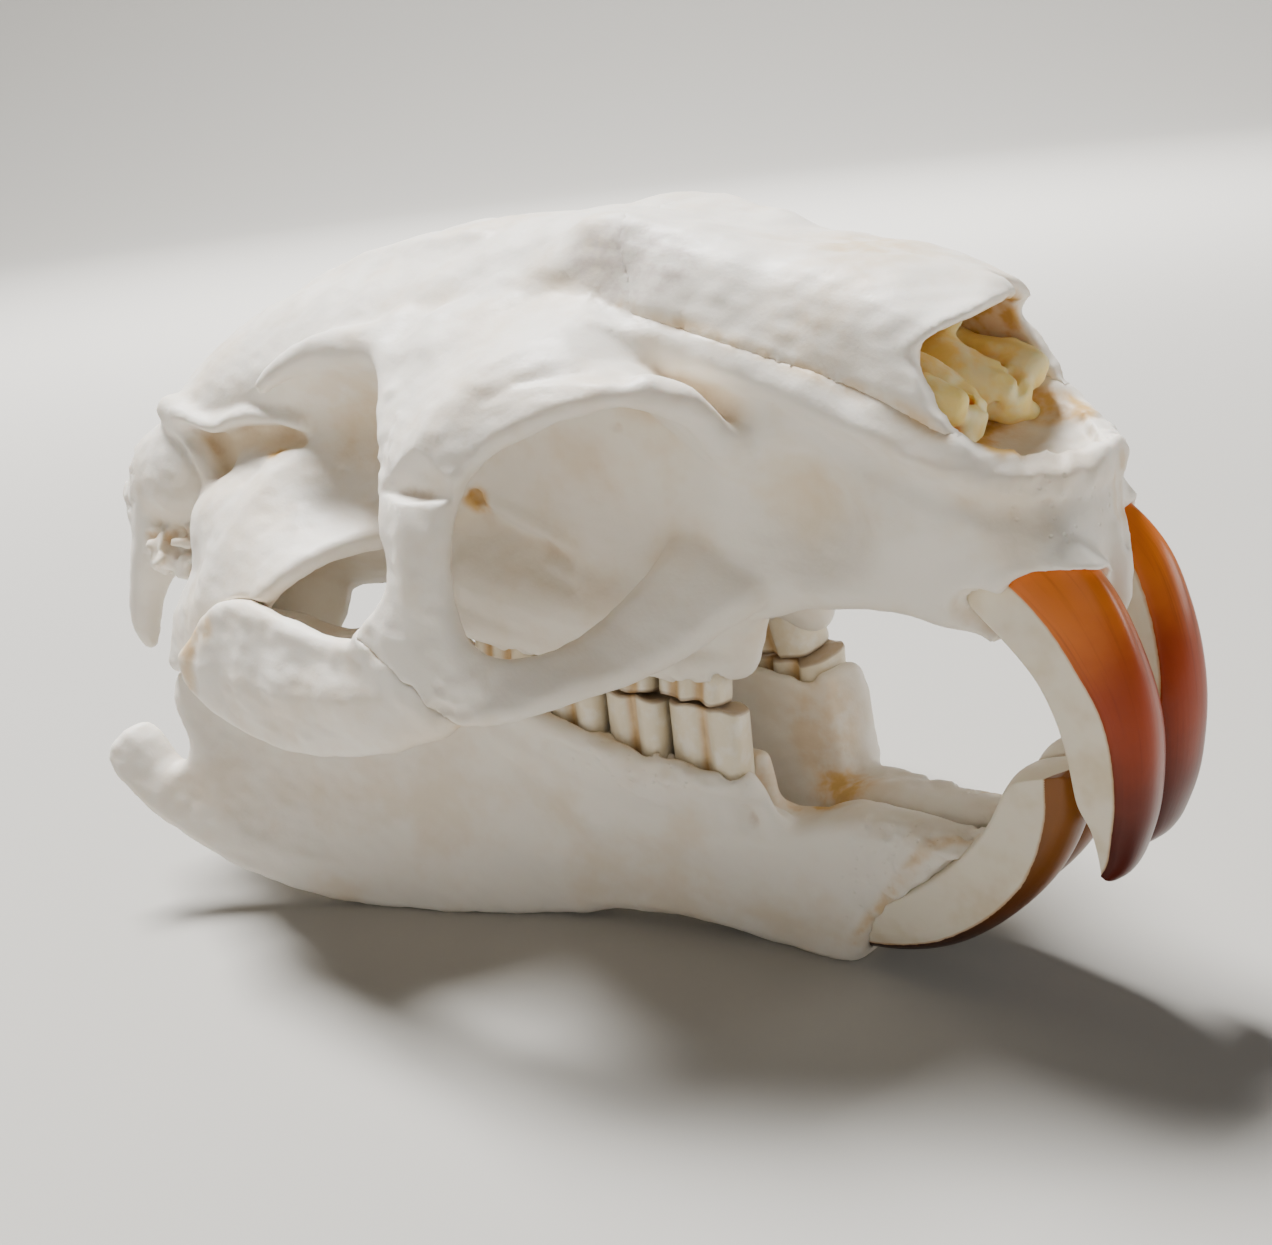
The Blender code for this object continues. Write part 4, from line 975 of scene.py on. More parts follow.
@dataclass(frozen=True)
class IncisorSkin:
    """Rodent incisor: iron-stained enamel in front, bare ivory dentine on the other sides.

    The enamel is glassy, bright orange by the gum and red-brown towards the tip, with faint
    growth lines along it; on the upper pair that change is partly painted light and shade, the
    enamel facing up to the light by the gum and down, away from it, at the tip. The dentine is
    satin ivory with a thin amber line at the edge.
    """

    name: str
    gum: str
    middle: str
    tip: str
    ivory: str = "#F0E6D2"
    edge: str = "#C08A45"
    shade: str = "#D8C4A0"
    gloss: float = 0.3

    def material(self) -> Material:
        """Enamel or dentine by the stored distance from the enamel's edge."""
        made, tree, shader = blank(self.name, {
            "IOR": 1.45, "Specular IOR Level": 0.35, "Subsurface Weight": 0.15,
            "Subsurface Radius": (1.0, 0.4, 0.2), "Subsurface Scale": 1.0 * MM})
        coat, along = attribute(tree, "enamel"), attribute(tree, "along")
        wobble = sums(tree, "MULTIPLY", noise(tree, 0.9, 3.0), 0.14)
        line = sums(tree, "ADD", coat, sums(tree, "SUBTRACT", wobble, 0.07))
        clear = band(tree, line, -0.03, 0.03)
        clouds = noise(tree, 5.0, 3.0)
        run = plus(tree, along, clouds, 0.22)
        # Lighter by the gum and darker towards the tip: on the upper pair partly painted light and shade,
        # as the enamel faces up to the light by the gum and down, away from it, at the tip.
        enamel = Tints(tree, self.gum)
        enamel.lay(self.middle, band(tree, run, 0.20, 0.52))
        enamel.lay(self.tip, band(tree, run, 0.50, 1.0))
        coords = add_node(tree, "ShaderNodeUVMap", {"uv_map": "round_and_along"}).outputs[0]
        stretch = add_node(tree, "ShaderNodeMapping", {"Scale": (60.0, 2.5, 1.0)},
                           {"Vector": coords}).outputs[0]
        lines = add_node(tree, "ShaderNodeTexNoise", {"Scale": 1.0, "Detail": 3.0},
                         {"Vector": stretch}).outputs["Fac"]
        enamel.lay(self.tip, band(tree, lines, 0.52, 0.80, 0.35))
        dentine = Tints(tree, self.ivory)
        dentine.lay(self.shade, band(tree, clouds, 0.42, 0.75, 0.7))
        dentine.lay(self.edge, band(tree, line, -0.28, -0.02, 0.6))
        both = add_node(tree, "ShaderNodeMix", {"data_type": "RGBA"},
                        {0: clear, 6: dentine.socket, 7: enamel.socket})
        tree.links.new(both.outputs[2], shader.inputs["Base Color"])
        rough = band(tree, clear, 0.0, 1.0, self.gloss, 0.45, "LINEAR")
        tree.links.new(rough, shader.inputs["Roughness"])
        height = plus(tree, sums(tree, "MULTIPLY", lines, 0.25), noise(tree, 0.7, 3.0), 0.2)
        bump(tree, shader, height, 0.35, 0.12)
        return made


@dataclass(frozen=True)
class CheekToothSkin:
    """Cheek tooth: cream enamel columns with food-stained brown grooves between them."""

    name: str = "cheek_tooth_enamel"
    cream: str = "#E9DCC0"
    white: str = "#F3ECDD"
    amber: str = "#C89A50"
    brown: str = "#7A5228"

    def material(self) -> Material:
        """Colour by depth in the grooves and nearness to the bite."""
        made, tree, shader = blank(self.name, {"Roughness": 0.32, "IOR": 1.6})
        groove, bite = attribute(tree, "groove"), attribute(tree, "bite")
        clouds = noise(tree, 1.6, 4.0)
        tints = Tints(tree, self.cream)
        tints.lay(self.white, band(tree, clouds, 0.42, 0.70, 0.8))
        dirt = sums(tree, "MULTIPLY", groove, sums(tree, "ADD", clouds, 0.45))
        tints.lay(self.amber, band(tree, dirt, 0.30, 0.95, 0.75))
        tints.lay(self.brown, band(tree, dirt, 0.80, 1.25, 0.5))
        tints.lay(self.brown, band(tree, bite, 0.45, 1.0, 0.6))
        tree.links.new(tints.socket, shader.inputs["Base Color"])
        bump(tree, shader, noise(tree, 0.5, 3.0), 0.3, 0.12)
        return made


@dataclass
class ToothRows:
    """Where the cheek teeth stand, millimetres: x of the middle, length and width.

    Front and back: x, and the row's distance from the midplane. Roots are heights.
    """

    upper: Rows = ((73.9, 7.6, 5.4), (66.7, 6.6, 6.0), (59.8, 7.0, 6.4), (52.3, 7.8, 6.4))
    lower: Rows = ((75.3, 8.4, 5.2), (67.6, 6.8, 5.8), (60.7, 6.8, 6.2), (53.2, 8.0, 6.2))
    front: tuple[float, float] = (77.0, 7.4)
    back: tuple[float, float] = (50.0, 10.6)
    bite_height: float = 25.7
    bite_middle: float = 8.0
    bite_slope: float = 0.25
    upper_lean: float = -0.22
    skew: float = 0.3
    corner: float = 1.6
    upper_root: float = 35.0
    lower_root: float = 18.2
    # Floor of the lower sockets, which the lower roots reach a little into.
    lower_socket: float = 18.8

    def place(self, x: float) -> float:
        """Distance of the row from the midplane at x."""
        part = (self.front[0] - x) / (self.front[0] - self.back[0])
        return self.front[1] + part * (self.back[1] - self.front[1])

    def bite(self, s: Array) -> Array:
        """Height at which upper and lower teeth meet, rising outwards."""
        return self.bite_height + (s - self.bite_middle) * self.bite_slope


TEETH = ToothRows()


class ToothBlock:
    """The plain block of one cheek tooth, for its socket in the bone."""

    def __init__(self, x: float, length: float, width: float, upper: bool, root: float) -> None:
        """Keep the sizes and the box round them."""
        self.x, self.s = x, TEETH.place(x)
        self.half = (length / 2, width / 2)
        self.root = root
        self.lean = TEETH.upper_lean if upper else 0.0
        self.middle = float(TEETH.bite(self.s))
        drift = abs(self.lean * (root - self.middle))
        reach = np.array([length / 2 + TEETH.skew * width / 2 + 1, width / 2 + drift + 1, 3.0])
        self.low = np.array([x, self.s, min(self.middle, root)]) - reach
        self.high = np.array([x, self.s, max(self.middle, root)]) + reach

    def distance(self, x: Array, s: Array, z: Array) -> Array:
        """Distance from an upright block with rounded corners, open past the bite."""
        ds = s - self.s - self.lean * (z - self.middle)
        dx = x - self.x - TEETH.skew * ds
        a, b = self.half
        c = TEETH.corner
        outline = np.sqrt(np.maximum(np.abs(dx) - a + c, 0) ** 2
                          + np.maximum(np.abs(ds) - b + c, 0) ** 2) - c
        ends = z - self.root if self.root > self.middle else self.root - z
        return smooth_max(outline, ends, 0.7)


def carve_sockets(bone: Volume, upper: bool) -> None:
    """Take the blocks of one row of cheek teeth, and a little more, out of a bone."""
    root = TEETH.upper_root if upper else TEETH.lower_socket
    for x, length, width in TEETH.upper if upper else TEETH.lower:
        bone.carve(ToothBlock(x, length, width, upper, root), 0.3, grow=GUM)


@dataclass
class CheekTeeth:
    """Rows of four cheek teeth, each a folded column carried from its root to the bite."""

    finish: CheekToothSkin = field(default_factory=CheekToothSkin)
    fold_depth: float = 0.9
    fold_width: float = 0.85
    around: int = 140
    along: int = 26

    def column(self, tooth: Sequence[float], upper: bool, side: Side, seed: int) -> tuple[Array, ...]:
        """One tooth as rings: a rounded block whose sides fold in where the enamel folds.

        Args:
            tooth: x of the middle, length and width.
            upper: whether it grows from the upper skull.
            side: left or right.
            seed: for its own small differences.

        Returns:
            Rings of points, how deep in a fold each lies, and how near the bite.
        """
        draw = np.random.default_rng(seed)
        x0, length, width = tooth
        s0, a, b = TEETH.place(x0), length / 2, width / 2
        turn = np.arange(self.around) / self.around * 2 * math.pi
        c, n = np.cos(turn), np.sin(turn)
        dx = a * np.sign(c) * np.abs(c) ** 0.55
        ds = b * np.sign(n) * np.abs(n) ** 0.55
        outer = 1.0 if upper else -1.0
        folds = ((-0.40 * a, outer), (0.34 * a, outer), (0.02 * a, -outer))
        fold = np.zeros(self.around)
        for spot, face in folds:
            spot += draw.normal(0, 0.12)
            facing = ease(face * ds / b, 0.3, 0.8)
            fold += facing * bell(dx - spot, self.fold_width)
        fold = np.clip(fold, 0, 1)
        ds = ds - np.sign(ds) * fold * self.fold_depth
        root = TEETH.upper_root if upper else TEETH.lower_root
        t = np.linspace(0, 1, self.along) ** 0.7
        bite = TEETH.bite(s0 + ds) + 0.16 * np.sin(dx * 1.7 + draw.uniform(0, 6))
        bite = bite + (SEAM / 2 if upper else -SEAM / 2)
        height = root + (bite[None, :] - root) * t[:, None]
        lean = TEETH.upper_lean if upper else 0.0
        swell = 1.0 - 0.04 * ease(t, 0.96, 1.0)[:, None]
        ring_s = s0 + ds[None, :] * swell + lean * (height - TEETH.bite(s0))
        ring_x = x0 + dx[None, :] * swell + TEETH.skew * (ring_s - s0)
        rings = np.stack([ring_x, ring_s * side.value, height], -1)
        wear = np.broadcast_to(ease(t, 0.90, 1.0)[:, None], height.shape)
        return rings, np.broadcast_to(fold, height.shape), wear

    def build(self) -> None:
        """Four rows of teeth, one piece to a row."""
        finish = self.finish.material()
        for upper, row in ((True, TEETH.upper), (False, TEETH.lower)):
            for side in HALVES:
                parts = []
                for k, tooth in enumerate(row):
                    seed = 50 + 11 * k + 3 * upper + side.value
                    rings, fold, wear = self.column(tooth, upper, side, seed)
                    sweep = Sweep(rings, (0.85, 0.5, 0.2))
                    mesh = sweep.mesh("tooth")
                    paint(mesh, groove=sweep.spread(fold), bite=sweep.spread(wear))
                    parts.append(mesh)
                name = f"{'upper' if upper else 'lower'}_cheek_teeth_{side.word}"
                show(joined(parts, name), finish)


def joined(meshes: Sequence[Mesh], name: str) -> Mesh:
    """Several meshes as one, their stored numbers kept."""
    holders = [in_scene("holder", mesh) for mesh in meshes]
    with bpy.context.temp_override(active_object=holders[0], selected_editable_objects=holders):
        bpy.ops.object.join()
    made = holders[0].data
    bpy.data.objects.remove(holders[0])
    made.name = name
    return made


def from_crest(s: Array, near: Array, far: Array, crest: float) -> Array:
    """The way across an incisor: 0 on its crest, 1 at either side.

    Args:
        s: distances from the midplane.
        near: the inner side's distance.
        far: the outer side's distance.
        crest: where the crest lies, as a share of the width.

    Returns:
        The way, 1 also beyond the sides.
    """
    top = near + crest * (far - near)
    return np.clip(np.where(s > top, (s - top) / (far - top), (top - s) / (top - near)), 0.0, 1.0)


@dataclass
class Incisors:
    """A pair of incisors bent round a centre in the side view.

    Rows: angle in degrees, inner and outer radius, depth over which the front rounds off,
    and distances of both sides from the midplane. Wrap: angle, and how far the enamel
    reaches round the outer side, millimetres. Bare: angle, and how far the enamel stops
    short of the inner side. Shown: the angles at the gum and at the tip.
    """

    name: str
    finish: IncisorSkin
    slot: Slot
    centre: tuple[float, float]
    rows: Rows
    crest: float
    wrap: Rows
    bare: Rows
    shown: tuple[float, float]
    bow: float = 0.96
    stations: int = 150
    front_points: int = 56
    side_points: int = 34
    back_points: int = 24
    raised: float = 0.12

    def sizes(self, angle: Array) -> list[Array]:
        """Inner and outer radius, rounding depth, and both sides, smooth over the angle."""
        rows = spline(np.array(self.rows, float), 8)
        return [np.interp(angle, rows[:, 0], column)[:, None] for column in rows[:, 1:].T]

    def rings(self, side: Side) -> tuple[Array, Array, Array]:
        """Cross-sections along the bend, as closed profiles in radius and width.

        The front line's radius is the outer one less the rounding depth times
        1 - sqrt(1 - bow * u * u), u being the way from the crest to either side. The sides
        run straight in to the inner radius, and the corners are rounded by averaging.

        Args:
            side: left or right.

        Returns:
            Rings of points, each point's distance inside the enamel's edge, and its share
            of the way from the gum to the tip.
        """
        first, last = self.rows[0][0], self.rows[-1][0]
        angle = np.linspace(first, last, self.stations)
        inner, outer, drop, near, far = self.sizes(angle)
        front = np.linspace(0, 1, self.front_points)[None, :]
        s_front = near + (far - near) * (0.5 - 0.5 * np.cos(math.pi * front))
        aside = from_crest(s_front, near, far, self.crest)
        r_front = outer - drop * (1 - np.sqrt(1 - self.bow * aside ** 2))
        down = np.linspace(0, 1, self.side_points)[None, 1:-1]
        r_far = r_front[:, -1:] + (inner - r_front[:, -1:]) * down
        r_near = inner + (r_front[:, :1] - inner) * down
        back = np.linspace(1, 0, self.back_points)[None, :]
        s_back = near + (far - near) * back
        r_back = inner - 0.35 * np.sin(math.pi * back) * ease(outer - inner, 0.5, 3.0)
        s = np.concatenate([s_front, far + 0 * r_far, s_back, near + 0 * r_near], 1)
        r = np.concatenate([r_front, r_far, r_back, r_near], 1)
        for _ in range(3):
            s = (np.roll(s, 1, 1) + 2 * s + np.roll(s, -1, 1)) / 4
            r = (np.roll(r, 1, 1) + 2 * r + np.roll(r, -1, 1)) / 4
        step = np.hypot(np.roll(s, -1, 1) - s, np.roll(r, -1, 1) - r)
        walk = np.cumsum(step, 1)
        corner = walk[:, self.front_points - 1:self.front_points]
        wrap, bare = [np.interp(angle, *np.array(rows, float).T)[:, None]
                      for rows in (self.wrap, self.bare)]
        enamel = np.minimum(wrap - (walk - corner), walk - bare)
        enamel = np.clip(np.maximum(enamel, walk - walk[:, -1:] - bare), -3, 3)
        lift = self.raised * ease(enamel, -0.06, 0.06)
        out_s, out_r = s - s.mean(1, keepdims=True), r - r.mean(1, keepdims=True)
        size = np.maximum(np.hypot(out_s, out_r), 0.3)
        s, r = s + lift * out_s / size, r + lift * out_r / size
        s = np.maximum(s, SEAM)
        turn = np.radians(angle)[:, None]
        rings = np.stack([self.centre[0] + r * np.cos(turn), s * side.value,
                          self.centre[1] + r * np.sin(turn)], -1)
        gum, tip = self.shown
        along = np.clip((angle - gum) / (tip - gum), 0, 1)[:, None] + 0 * r
        return rings, enamel, along

    def build(self) -> None:
        """The left and the right tooth."""
        finish = self.finish.material()
        for side in HALVES:
            rings, enamel, along = self.rings(side)
            node = f"{self.name}_{side.word}"
            sweep = Sweep(rings, (0.85, 0.5))
            mesh = sweep.mesh(node + "_tooth")
            spots = points_of(mesh)
            spots[:, 2] = np.maximum(spots[:, 2], FLAT)
            mesh.vertices.foreach_set("co", to_row(spots).astype(np.float32).ravel())
            paint(mesh, enamel=sweep.spread(enamel), along=sweep.spread(along))
            show(mesh, finish, (node,))


class BentTooth:
    """An incisor's plain form, for its socket in the bone."""

    def __init__(self, tooth: Incisors, wall: float = 0.0, first: float = -180.0) -> None:
        """Keep the rows past an angle, all grown by a wall."""
        rows = np.array([row for row in tooth.rows if row[0] > first], float)
        self.rows = rows + np.array([0, -wall, wall, 0, -wall, 0.8 * wall])
        self.centre, self.crest, self.bow = tooth.centre, tooth.crest, tooth.bow
        reach = self.rows[:, 2].max() + 1.0
        cx, cz = self.centre
        self.low = np.array([cx - reach, -1.0, cz - reach])
        self.high = np.array([cx + reach, self.rows[:, 5].max() + 2.0, cz + reach])

    def distance(self, x: Array, s: Array, z: Array) -> Array:
        """Distance by radius, width and angle round the centre."""
        cx, cz = self.centre
        radius = np.sqrt((x - cx) ** 2 + (z - cz) ** 2)
        angle = np.degrees(np.arctan2(z - cz, x - cx))
        inner, outer, drop, near, far = [np.interp(angle, self.rows[:, 0], column)
                                         for column in self.rows[:, 1:].T]
        middle, half = (near + far) / 2, (far - near) / 2
        bow = np.sqrt(1.0 - self.bow * from_crest(s, near, far, self.crest) ** 2)
        front = (radius - outer + drop * (1.0 - bow)) * 0.85
        body = smooth_max(np.abs(s - middle) - half, front, 0.6)
        body = smooth_max(body, (inner - radius) * 0.85, 1.0)
        ends = np.maximum(self.rows[0, 0] - angle, angle - self.rows[-1, 0])
        return smooth_max(body, ends * math.radians(1.0) * radius, 0.6)


# The upper enamel's colours, lighter by the gum and darker at the tip, are partly painted light and
# shade: the enamel faces up to the light by the gum and down, away from it, at the tip.
UPPER_PAIR = Incisors(
    "upper_incisor", IncisorSkin("upper_incisor_enamel", "#D4701E", "#9C3806", "#4A1204"),
    Slot.ORANGE, (97.1, 27.6),
    ((-34.2, 19.7, 20.9, 0.9, 0.5, 6.6), (-32, 19.1, 21.1, 1.2, 0.5, 6.7),
     (-29, 18.3, 21.1, 1.4, 0.5, 6.8),
     (-24, 17.0, 20.9, 1.7, 0.5, 7.0), (-18, 15.2, 20.7, 1.9, 0.5, 7.2),
     (-6, 14.0, 20.3, 2.1, 0.6, 7.4), (10, 13.2, 20.3, 2.8, 0.9, 7.6),
     (25, 12.8, 20.7, 4.2, 1.5, 7.8), (40, 12.4, 21.4, 5.2, 2.1, 7.9),
     (55, 12.2, 21.4, 5.4, 2.4, 7.6), (70, 12.6, 20.6, 5.0, 2.6, 7.0)),
    0.64, ((-40, 0.4), (0, 0.8), (70, 0.8)), ((-36, 0.0), (5, 0.15), (25, 1.8), (48, 3.2)),
    (48.0, -36.4))

LOWER_PAIR = Incisors(
    "lower_incisor", IncisorSkin("lower_incisor_enamel", "#3E2210", "#5A3010", "#8A5420"),
    Slot.PALE, (82.3, 30.6),
    ((-78, 26.0, 30.0, 3.0, 0.9, 5.4), (-60, 24.6, 30.7, 3.0, 0.7, 6.2),
     (-45, 24.2, 30.7, 2.6, 0.5, 6.3), (-32, 24.1, 30.7, 2.2, 0.4, 6.1),
     (-22, 23.9, 30.3, 1.8, 0.4, 5.8), (-18, 24.8, 29.8, 1.6, 0.4, 5.6),
     (-13.5, 28.0, 28.9, 0.8, 0.4, 5.4)),
    0.5, ((-78, -1.4), (-60, -1.3), (-45, -1.0), (-35, -0.5), (-25, 0.6), (-13, 1.8)),
    ((-78, 0.0), (-13, 0.0)), (-60.0, -13.5))


@dataclass
class Braincase:
    """The upper skull: trunk, ear region, cheek arch roots, sockets and nose hollow.

    Trunk rows: x, then half an outline (s, z) from the top of the midplane to the bottom.
    Plates are edge curves of (x, s, z, half thickness).
    """

    trunk: Sequence[tuple[float, Rows]] = (
        (3, ((0, 54.6), (5, 54), (9, 52.6), (13.5, 48.4), (17.6, 45.2), (19.6, 43), (20, 40), (19, 37),
         (16, 33.5), (12, 31), (7, 29.5), (0, 29.5))),
        (9, ((0, 57.8), (5, 57.4), (9.5, 56.1), (14.5, 53), (18.5, 49.2), (20, 45), (20, 41), (18.5, 37),
         (16, 32), (12, 29), (7, 28.5), (0, 29))),
        (15, ((0, 61.2), (5, 60.8), (10, 59.4), (15, 56.4), (18.4, 52.6), (17.8, 48), (17.4, 43),
         (16.8, 37), (15, 31), (10, 28.5), (5, 28.5), (0, 29))),
        (24, ((0, 64.8), (5, 64.3), (10.5, 62.4), (15, 59.3), (17.9, 54.6), (16.4, 49.6), (16.6, 44),
         (16.2, 38), (13, 33), (8, 30.5), (4, 30.5), (0, 30.5))),
        (33, ((0, 67.5), (5, 66.8), (10.5, 64.2), (15, 60.8), (17.3, 57), (15.8, 52), (15.4, 47),
         (14.6, 40), (11, 35), (7, 32.5), (4, 32), (0, 32))),
        (40, ((0, 68.7), (5, 67.9), (11, 64.8), (15, 61.8), (17.6, 59), (15.8, 56), (13.2, 50.5),
         (12.6, 43), (11, 38), (8, 34), (4, 33), (0, 33))),
        (46, ((0, 69.5), (5, 68.7), (11.8, 64.6), (15.2, 62), (17.8, 59.8), (16, 57.2), (12.4, 52),
         (11.4, 44), (11, 38), (9, 33), (5, 32.5), (0, 33.5))),
        (54, ((0, 70.2), (5, 69.3), (11, 66.2), (15, 63), (18.2, 60), (16.2, 57.6), (12, 53), (11, 45),
         (11.3, 38), (11, 32.5), (5, 32), (0, 33.5))),
        (61, ((0, 70.9), (5, 70.2), (10, 67.6), (13.6, 63.2), (17.4, 60.4), (15.4, 58), (11.6, 53),
         (10.8, 45), (11.2, 38), (11, 32.5), (5, 32), (0, 33.5))),
        (68, ((0, 71.1), (5, 70.9), (8.8, 69.6), (11.2, 64.6), (13.4, 61), (12.8, 57.5), (11.2, 52),
         (10.6, 45), (10.8, 38), (10.2, 32.5), (5, 32), (0, 33.5))),
        (77, ((0, 69.3), (5, 69), (8.4, 67.7), (10.8, 64.2), (12, 60.4), (11.6, 56), (10.6, 51),
         (10.4, 45), (10.2, 40), (8.6, 33.5), (5, 33), (0, 34))),
        (86, ((0, 67.3), (5, 66.9), (8.2, 65.3), (10.4, 62), (11.6, 58.4), (11.8, 55), (11.2, 50),
         (10.6, 45), (9.8, 40), (8, 36.3), (5, 36), (0, 36.4))),
        (95, ((0, 65.8), (5, 65.3), (8.3, 63.4), (10.2, 59.8), (11.2, 56), (11.6, 52), (11, 47),
         (10.2, 42), (9, 38.4), (7, 37), (4, 37), (0, 38))),
        (102, ((0, 63.8), (5, 62.6), (8.2, 60.8), (10, 57.6), (10.8, 54), (11, 50), (10.5, 46), (9.8, 42),
         (9, 38.3), (7, 36.3), (4, 36.4), (0, 38.2))),
        (105.4, ((0, 62.6), (4.6, 61.8), (7.6, 59.6), (9, 56), (9.6, 53), (9.9, 50), (9.8, 46), (9.4, 42),
         (9, 38.8), (7, 36.2), (4, 36.2), (0, 37.6))),
        (108, ((0, 61.5), (3.2, 61), (4.8, 58.8), (5.6, 56), (6, 53), (6.2, 50.5), (7.4, 47.4), (8.2, 44),
         (8.2, 41), (6.4, 38), (3.6, 37), (0, 37))),
        (110.6, ((0, 60), (1.6, 59.6), (2.4, 57.6), (2.8, 55.4), (3, 53), (3.2, 50.6), (4.4, 47.8),
         (6.2, 45), (6.4, 42.4), (4, 39.6), (2, 37.8), (0, 37))),
        (112.6, ((0, 57), (0.6, 56.6), (1, 55), (1.3, 53), (1.5, 51.4), (1.8, 49.8), (2.2, 48), (2.4, 45),
         (2.2, 42), (1.7, 39.6), (1.2, 38), (0, 37.4))))
    nose_cut: Rows = (
        (101.8, 65.6), (102.6, 63.6), (103.6, 62.2), (101.4, 61), (99.8, 59.3), (101.2, 56.8),
        (102.9, 54.4), (105.2, 52.2), (108, 51.2), (111, 51), (114.5, 52), (122, 60), (118, 72),
        (104, 72))
    socket_cut: Rows = (
        (104.9, 30), (105.4, 36.5), (105.8, 39.6), (106.8, 41.3), (108.6, 42.3), (110.5, 42.8),
        (112.2, 43.2), (113.2, 45.4), (117, 47), (121, 38), (118, 28))
    bar_rear: Rows = (
        (49, 15, 61.6, 1.6), (50, 17.8, 59.6, 1.3), (51.6, 19.6, 57.8, 1.1), (53.4, 22, 55.6, 1.1),
        (56.4, 24.8, 52.6, 1.1), (57.6, 26.6, 49.8, 1.2), (59, 28, 47.2, 1.3), (60, 29, 44, 1.3),
        (59.6, 29.8, 40.6, 1.3), (57, 30.5, 38, 1.3), (56, 31, 37, 1.2))
    bar_middle: Rows = (
        (70, 12.4, 61.6, 1.8), (70, 16.4, 61, 1.6), (68.6, 20, 59.8, 1.5), (65.6, 23.2, 57.8, 1.5),
        (63.2, 25.8, 54.6, 1.6), (61.8, 27.6, 50.6, 1.7), (62, 28.8, 47, 1.8), (62.4, 29.6, 43, 1.8),
        (62.6, 30.1, 39, 1.7), (62.4, 30.6, 35.4, 1.5), (62.8, 30.9, 33, 1.4))
    bar_front: Rows = (
        (87, 10.6, 47, 1.2), (85, 12.4, 52.4, 1.1), (82.6, 15.8, 56.4, 1.1), (77.6, 20, 57.6, 1.1),
        (71, 23.8, 55.6, 1.1), (66.8, 26.2, 52.8, 1.1), (65.2, 27.8, 49.6, 1.2), (64.8, 28.8, 46, 1.2),
        (65, 29.4, 42, 1.2), (65.8, 29.8, 38, 1.2), (67, 29.8, 34.6, 1.2))
    root_top: Rows = (
        (60, 30.4, 37.6, 1.3), (66, 29.2, 36.2, 1.2), (68.4, 26.6, 34.6, 1.1), (70.8, 22, 34.2, 1.1),
        (73, 17, 35.6, 1.4), (76.5, 11, 40.5, 1.8))
    root_low: Rows = (
        (63.6, 30.9, 32, 1.2), (66.4, 30.4, 31.8, 1.2), (69.6, 27.6, 31.8, 1.3), (73.2, 21.4, 32.4, 1.4),
        (76.8, 16, 33.6, 1.6), (82.5, 10.4, 38, 1.8))
    temple_rear: Rows = (
        (22, 14.5, 50, 2.2), (24, 17, 48, 1.9), (25, 19.4, 45, 1.7), (24.2, 21.6, 41.4, 1.6),
        (22, 23.4, 37, 1.5), (18.4, 24.8, 32, 1.3), (16.8, 25.6, 27, 1.1))
    temple_middle: Rows = (
        (33, 13.5, 50, 2.4), (33.2, 16.5, 48, 2.4), (32.6, 19.6, 45.8, 2.4), (31.8, 22.8, 43.4, 2.2),
        (30.6, 25.6, 40.4, 2), (28.6, 27.6, 36, 1.6), (26, 28.2, 30.5, 1.2))
    temple_front: Rows = (
        (50, 10.5, 47, 2), (48.4, 13.6, 44.4, 1.6), (46.8, 17.6, 42.6, 1.3), (45, 21.6, 42.3, 1.2),
        (42.8, 25.6, 41.4, 1.1), (40, 28.4, 39.2, 1.1), (36.5, 29.2, 35.8, 1))
    nose_wall: float = 1.6
    nasal_edge: Rows = (
        (69, 64.6), (73, 63), (78, 61.8), (86, 59.8), (92, 58.2), (98, 56), (102, 54), (106, 52.4))
    nasal_thickness: float = 2.2
    nasal_back: float = 69.4
    nasal_back_bow: float = 0.04
    nasal_back_lap: float = 0.8
    # Grooves along the seams of the nose bones: depth and width.
    side_groove: tuple[float, float] = (0.24, 0.5)
    back_groove: tuple[float, float] = (0.04, 0.5)
    middle_groove: tuple[float, float] = (0.16, 0.4)
    socket_wall: float = 1.0
    # The gum edge in front of an incisor: distance from the midplane and height.
    gum_arch: Rows = (
        (1, 37), (1.6, 38.8), (2.4, 40.8), (3.5, 41.8), (5, 42.3), (7.4, 42.7), (9.5, 42.9))
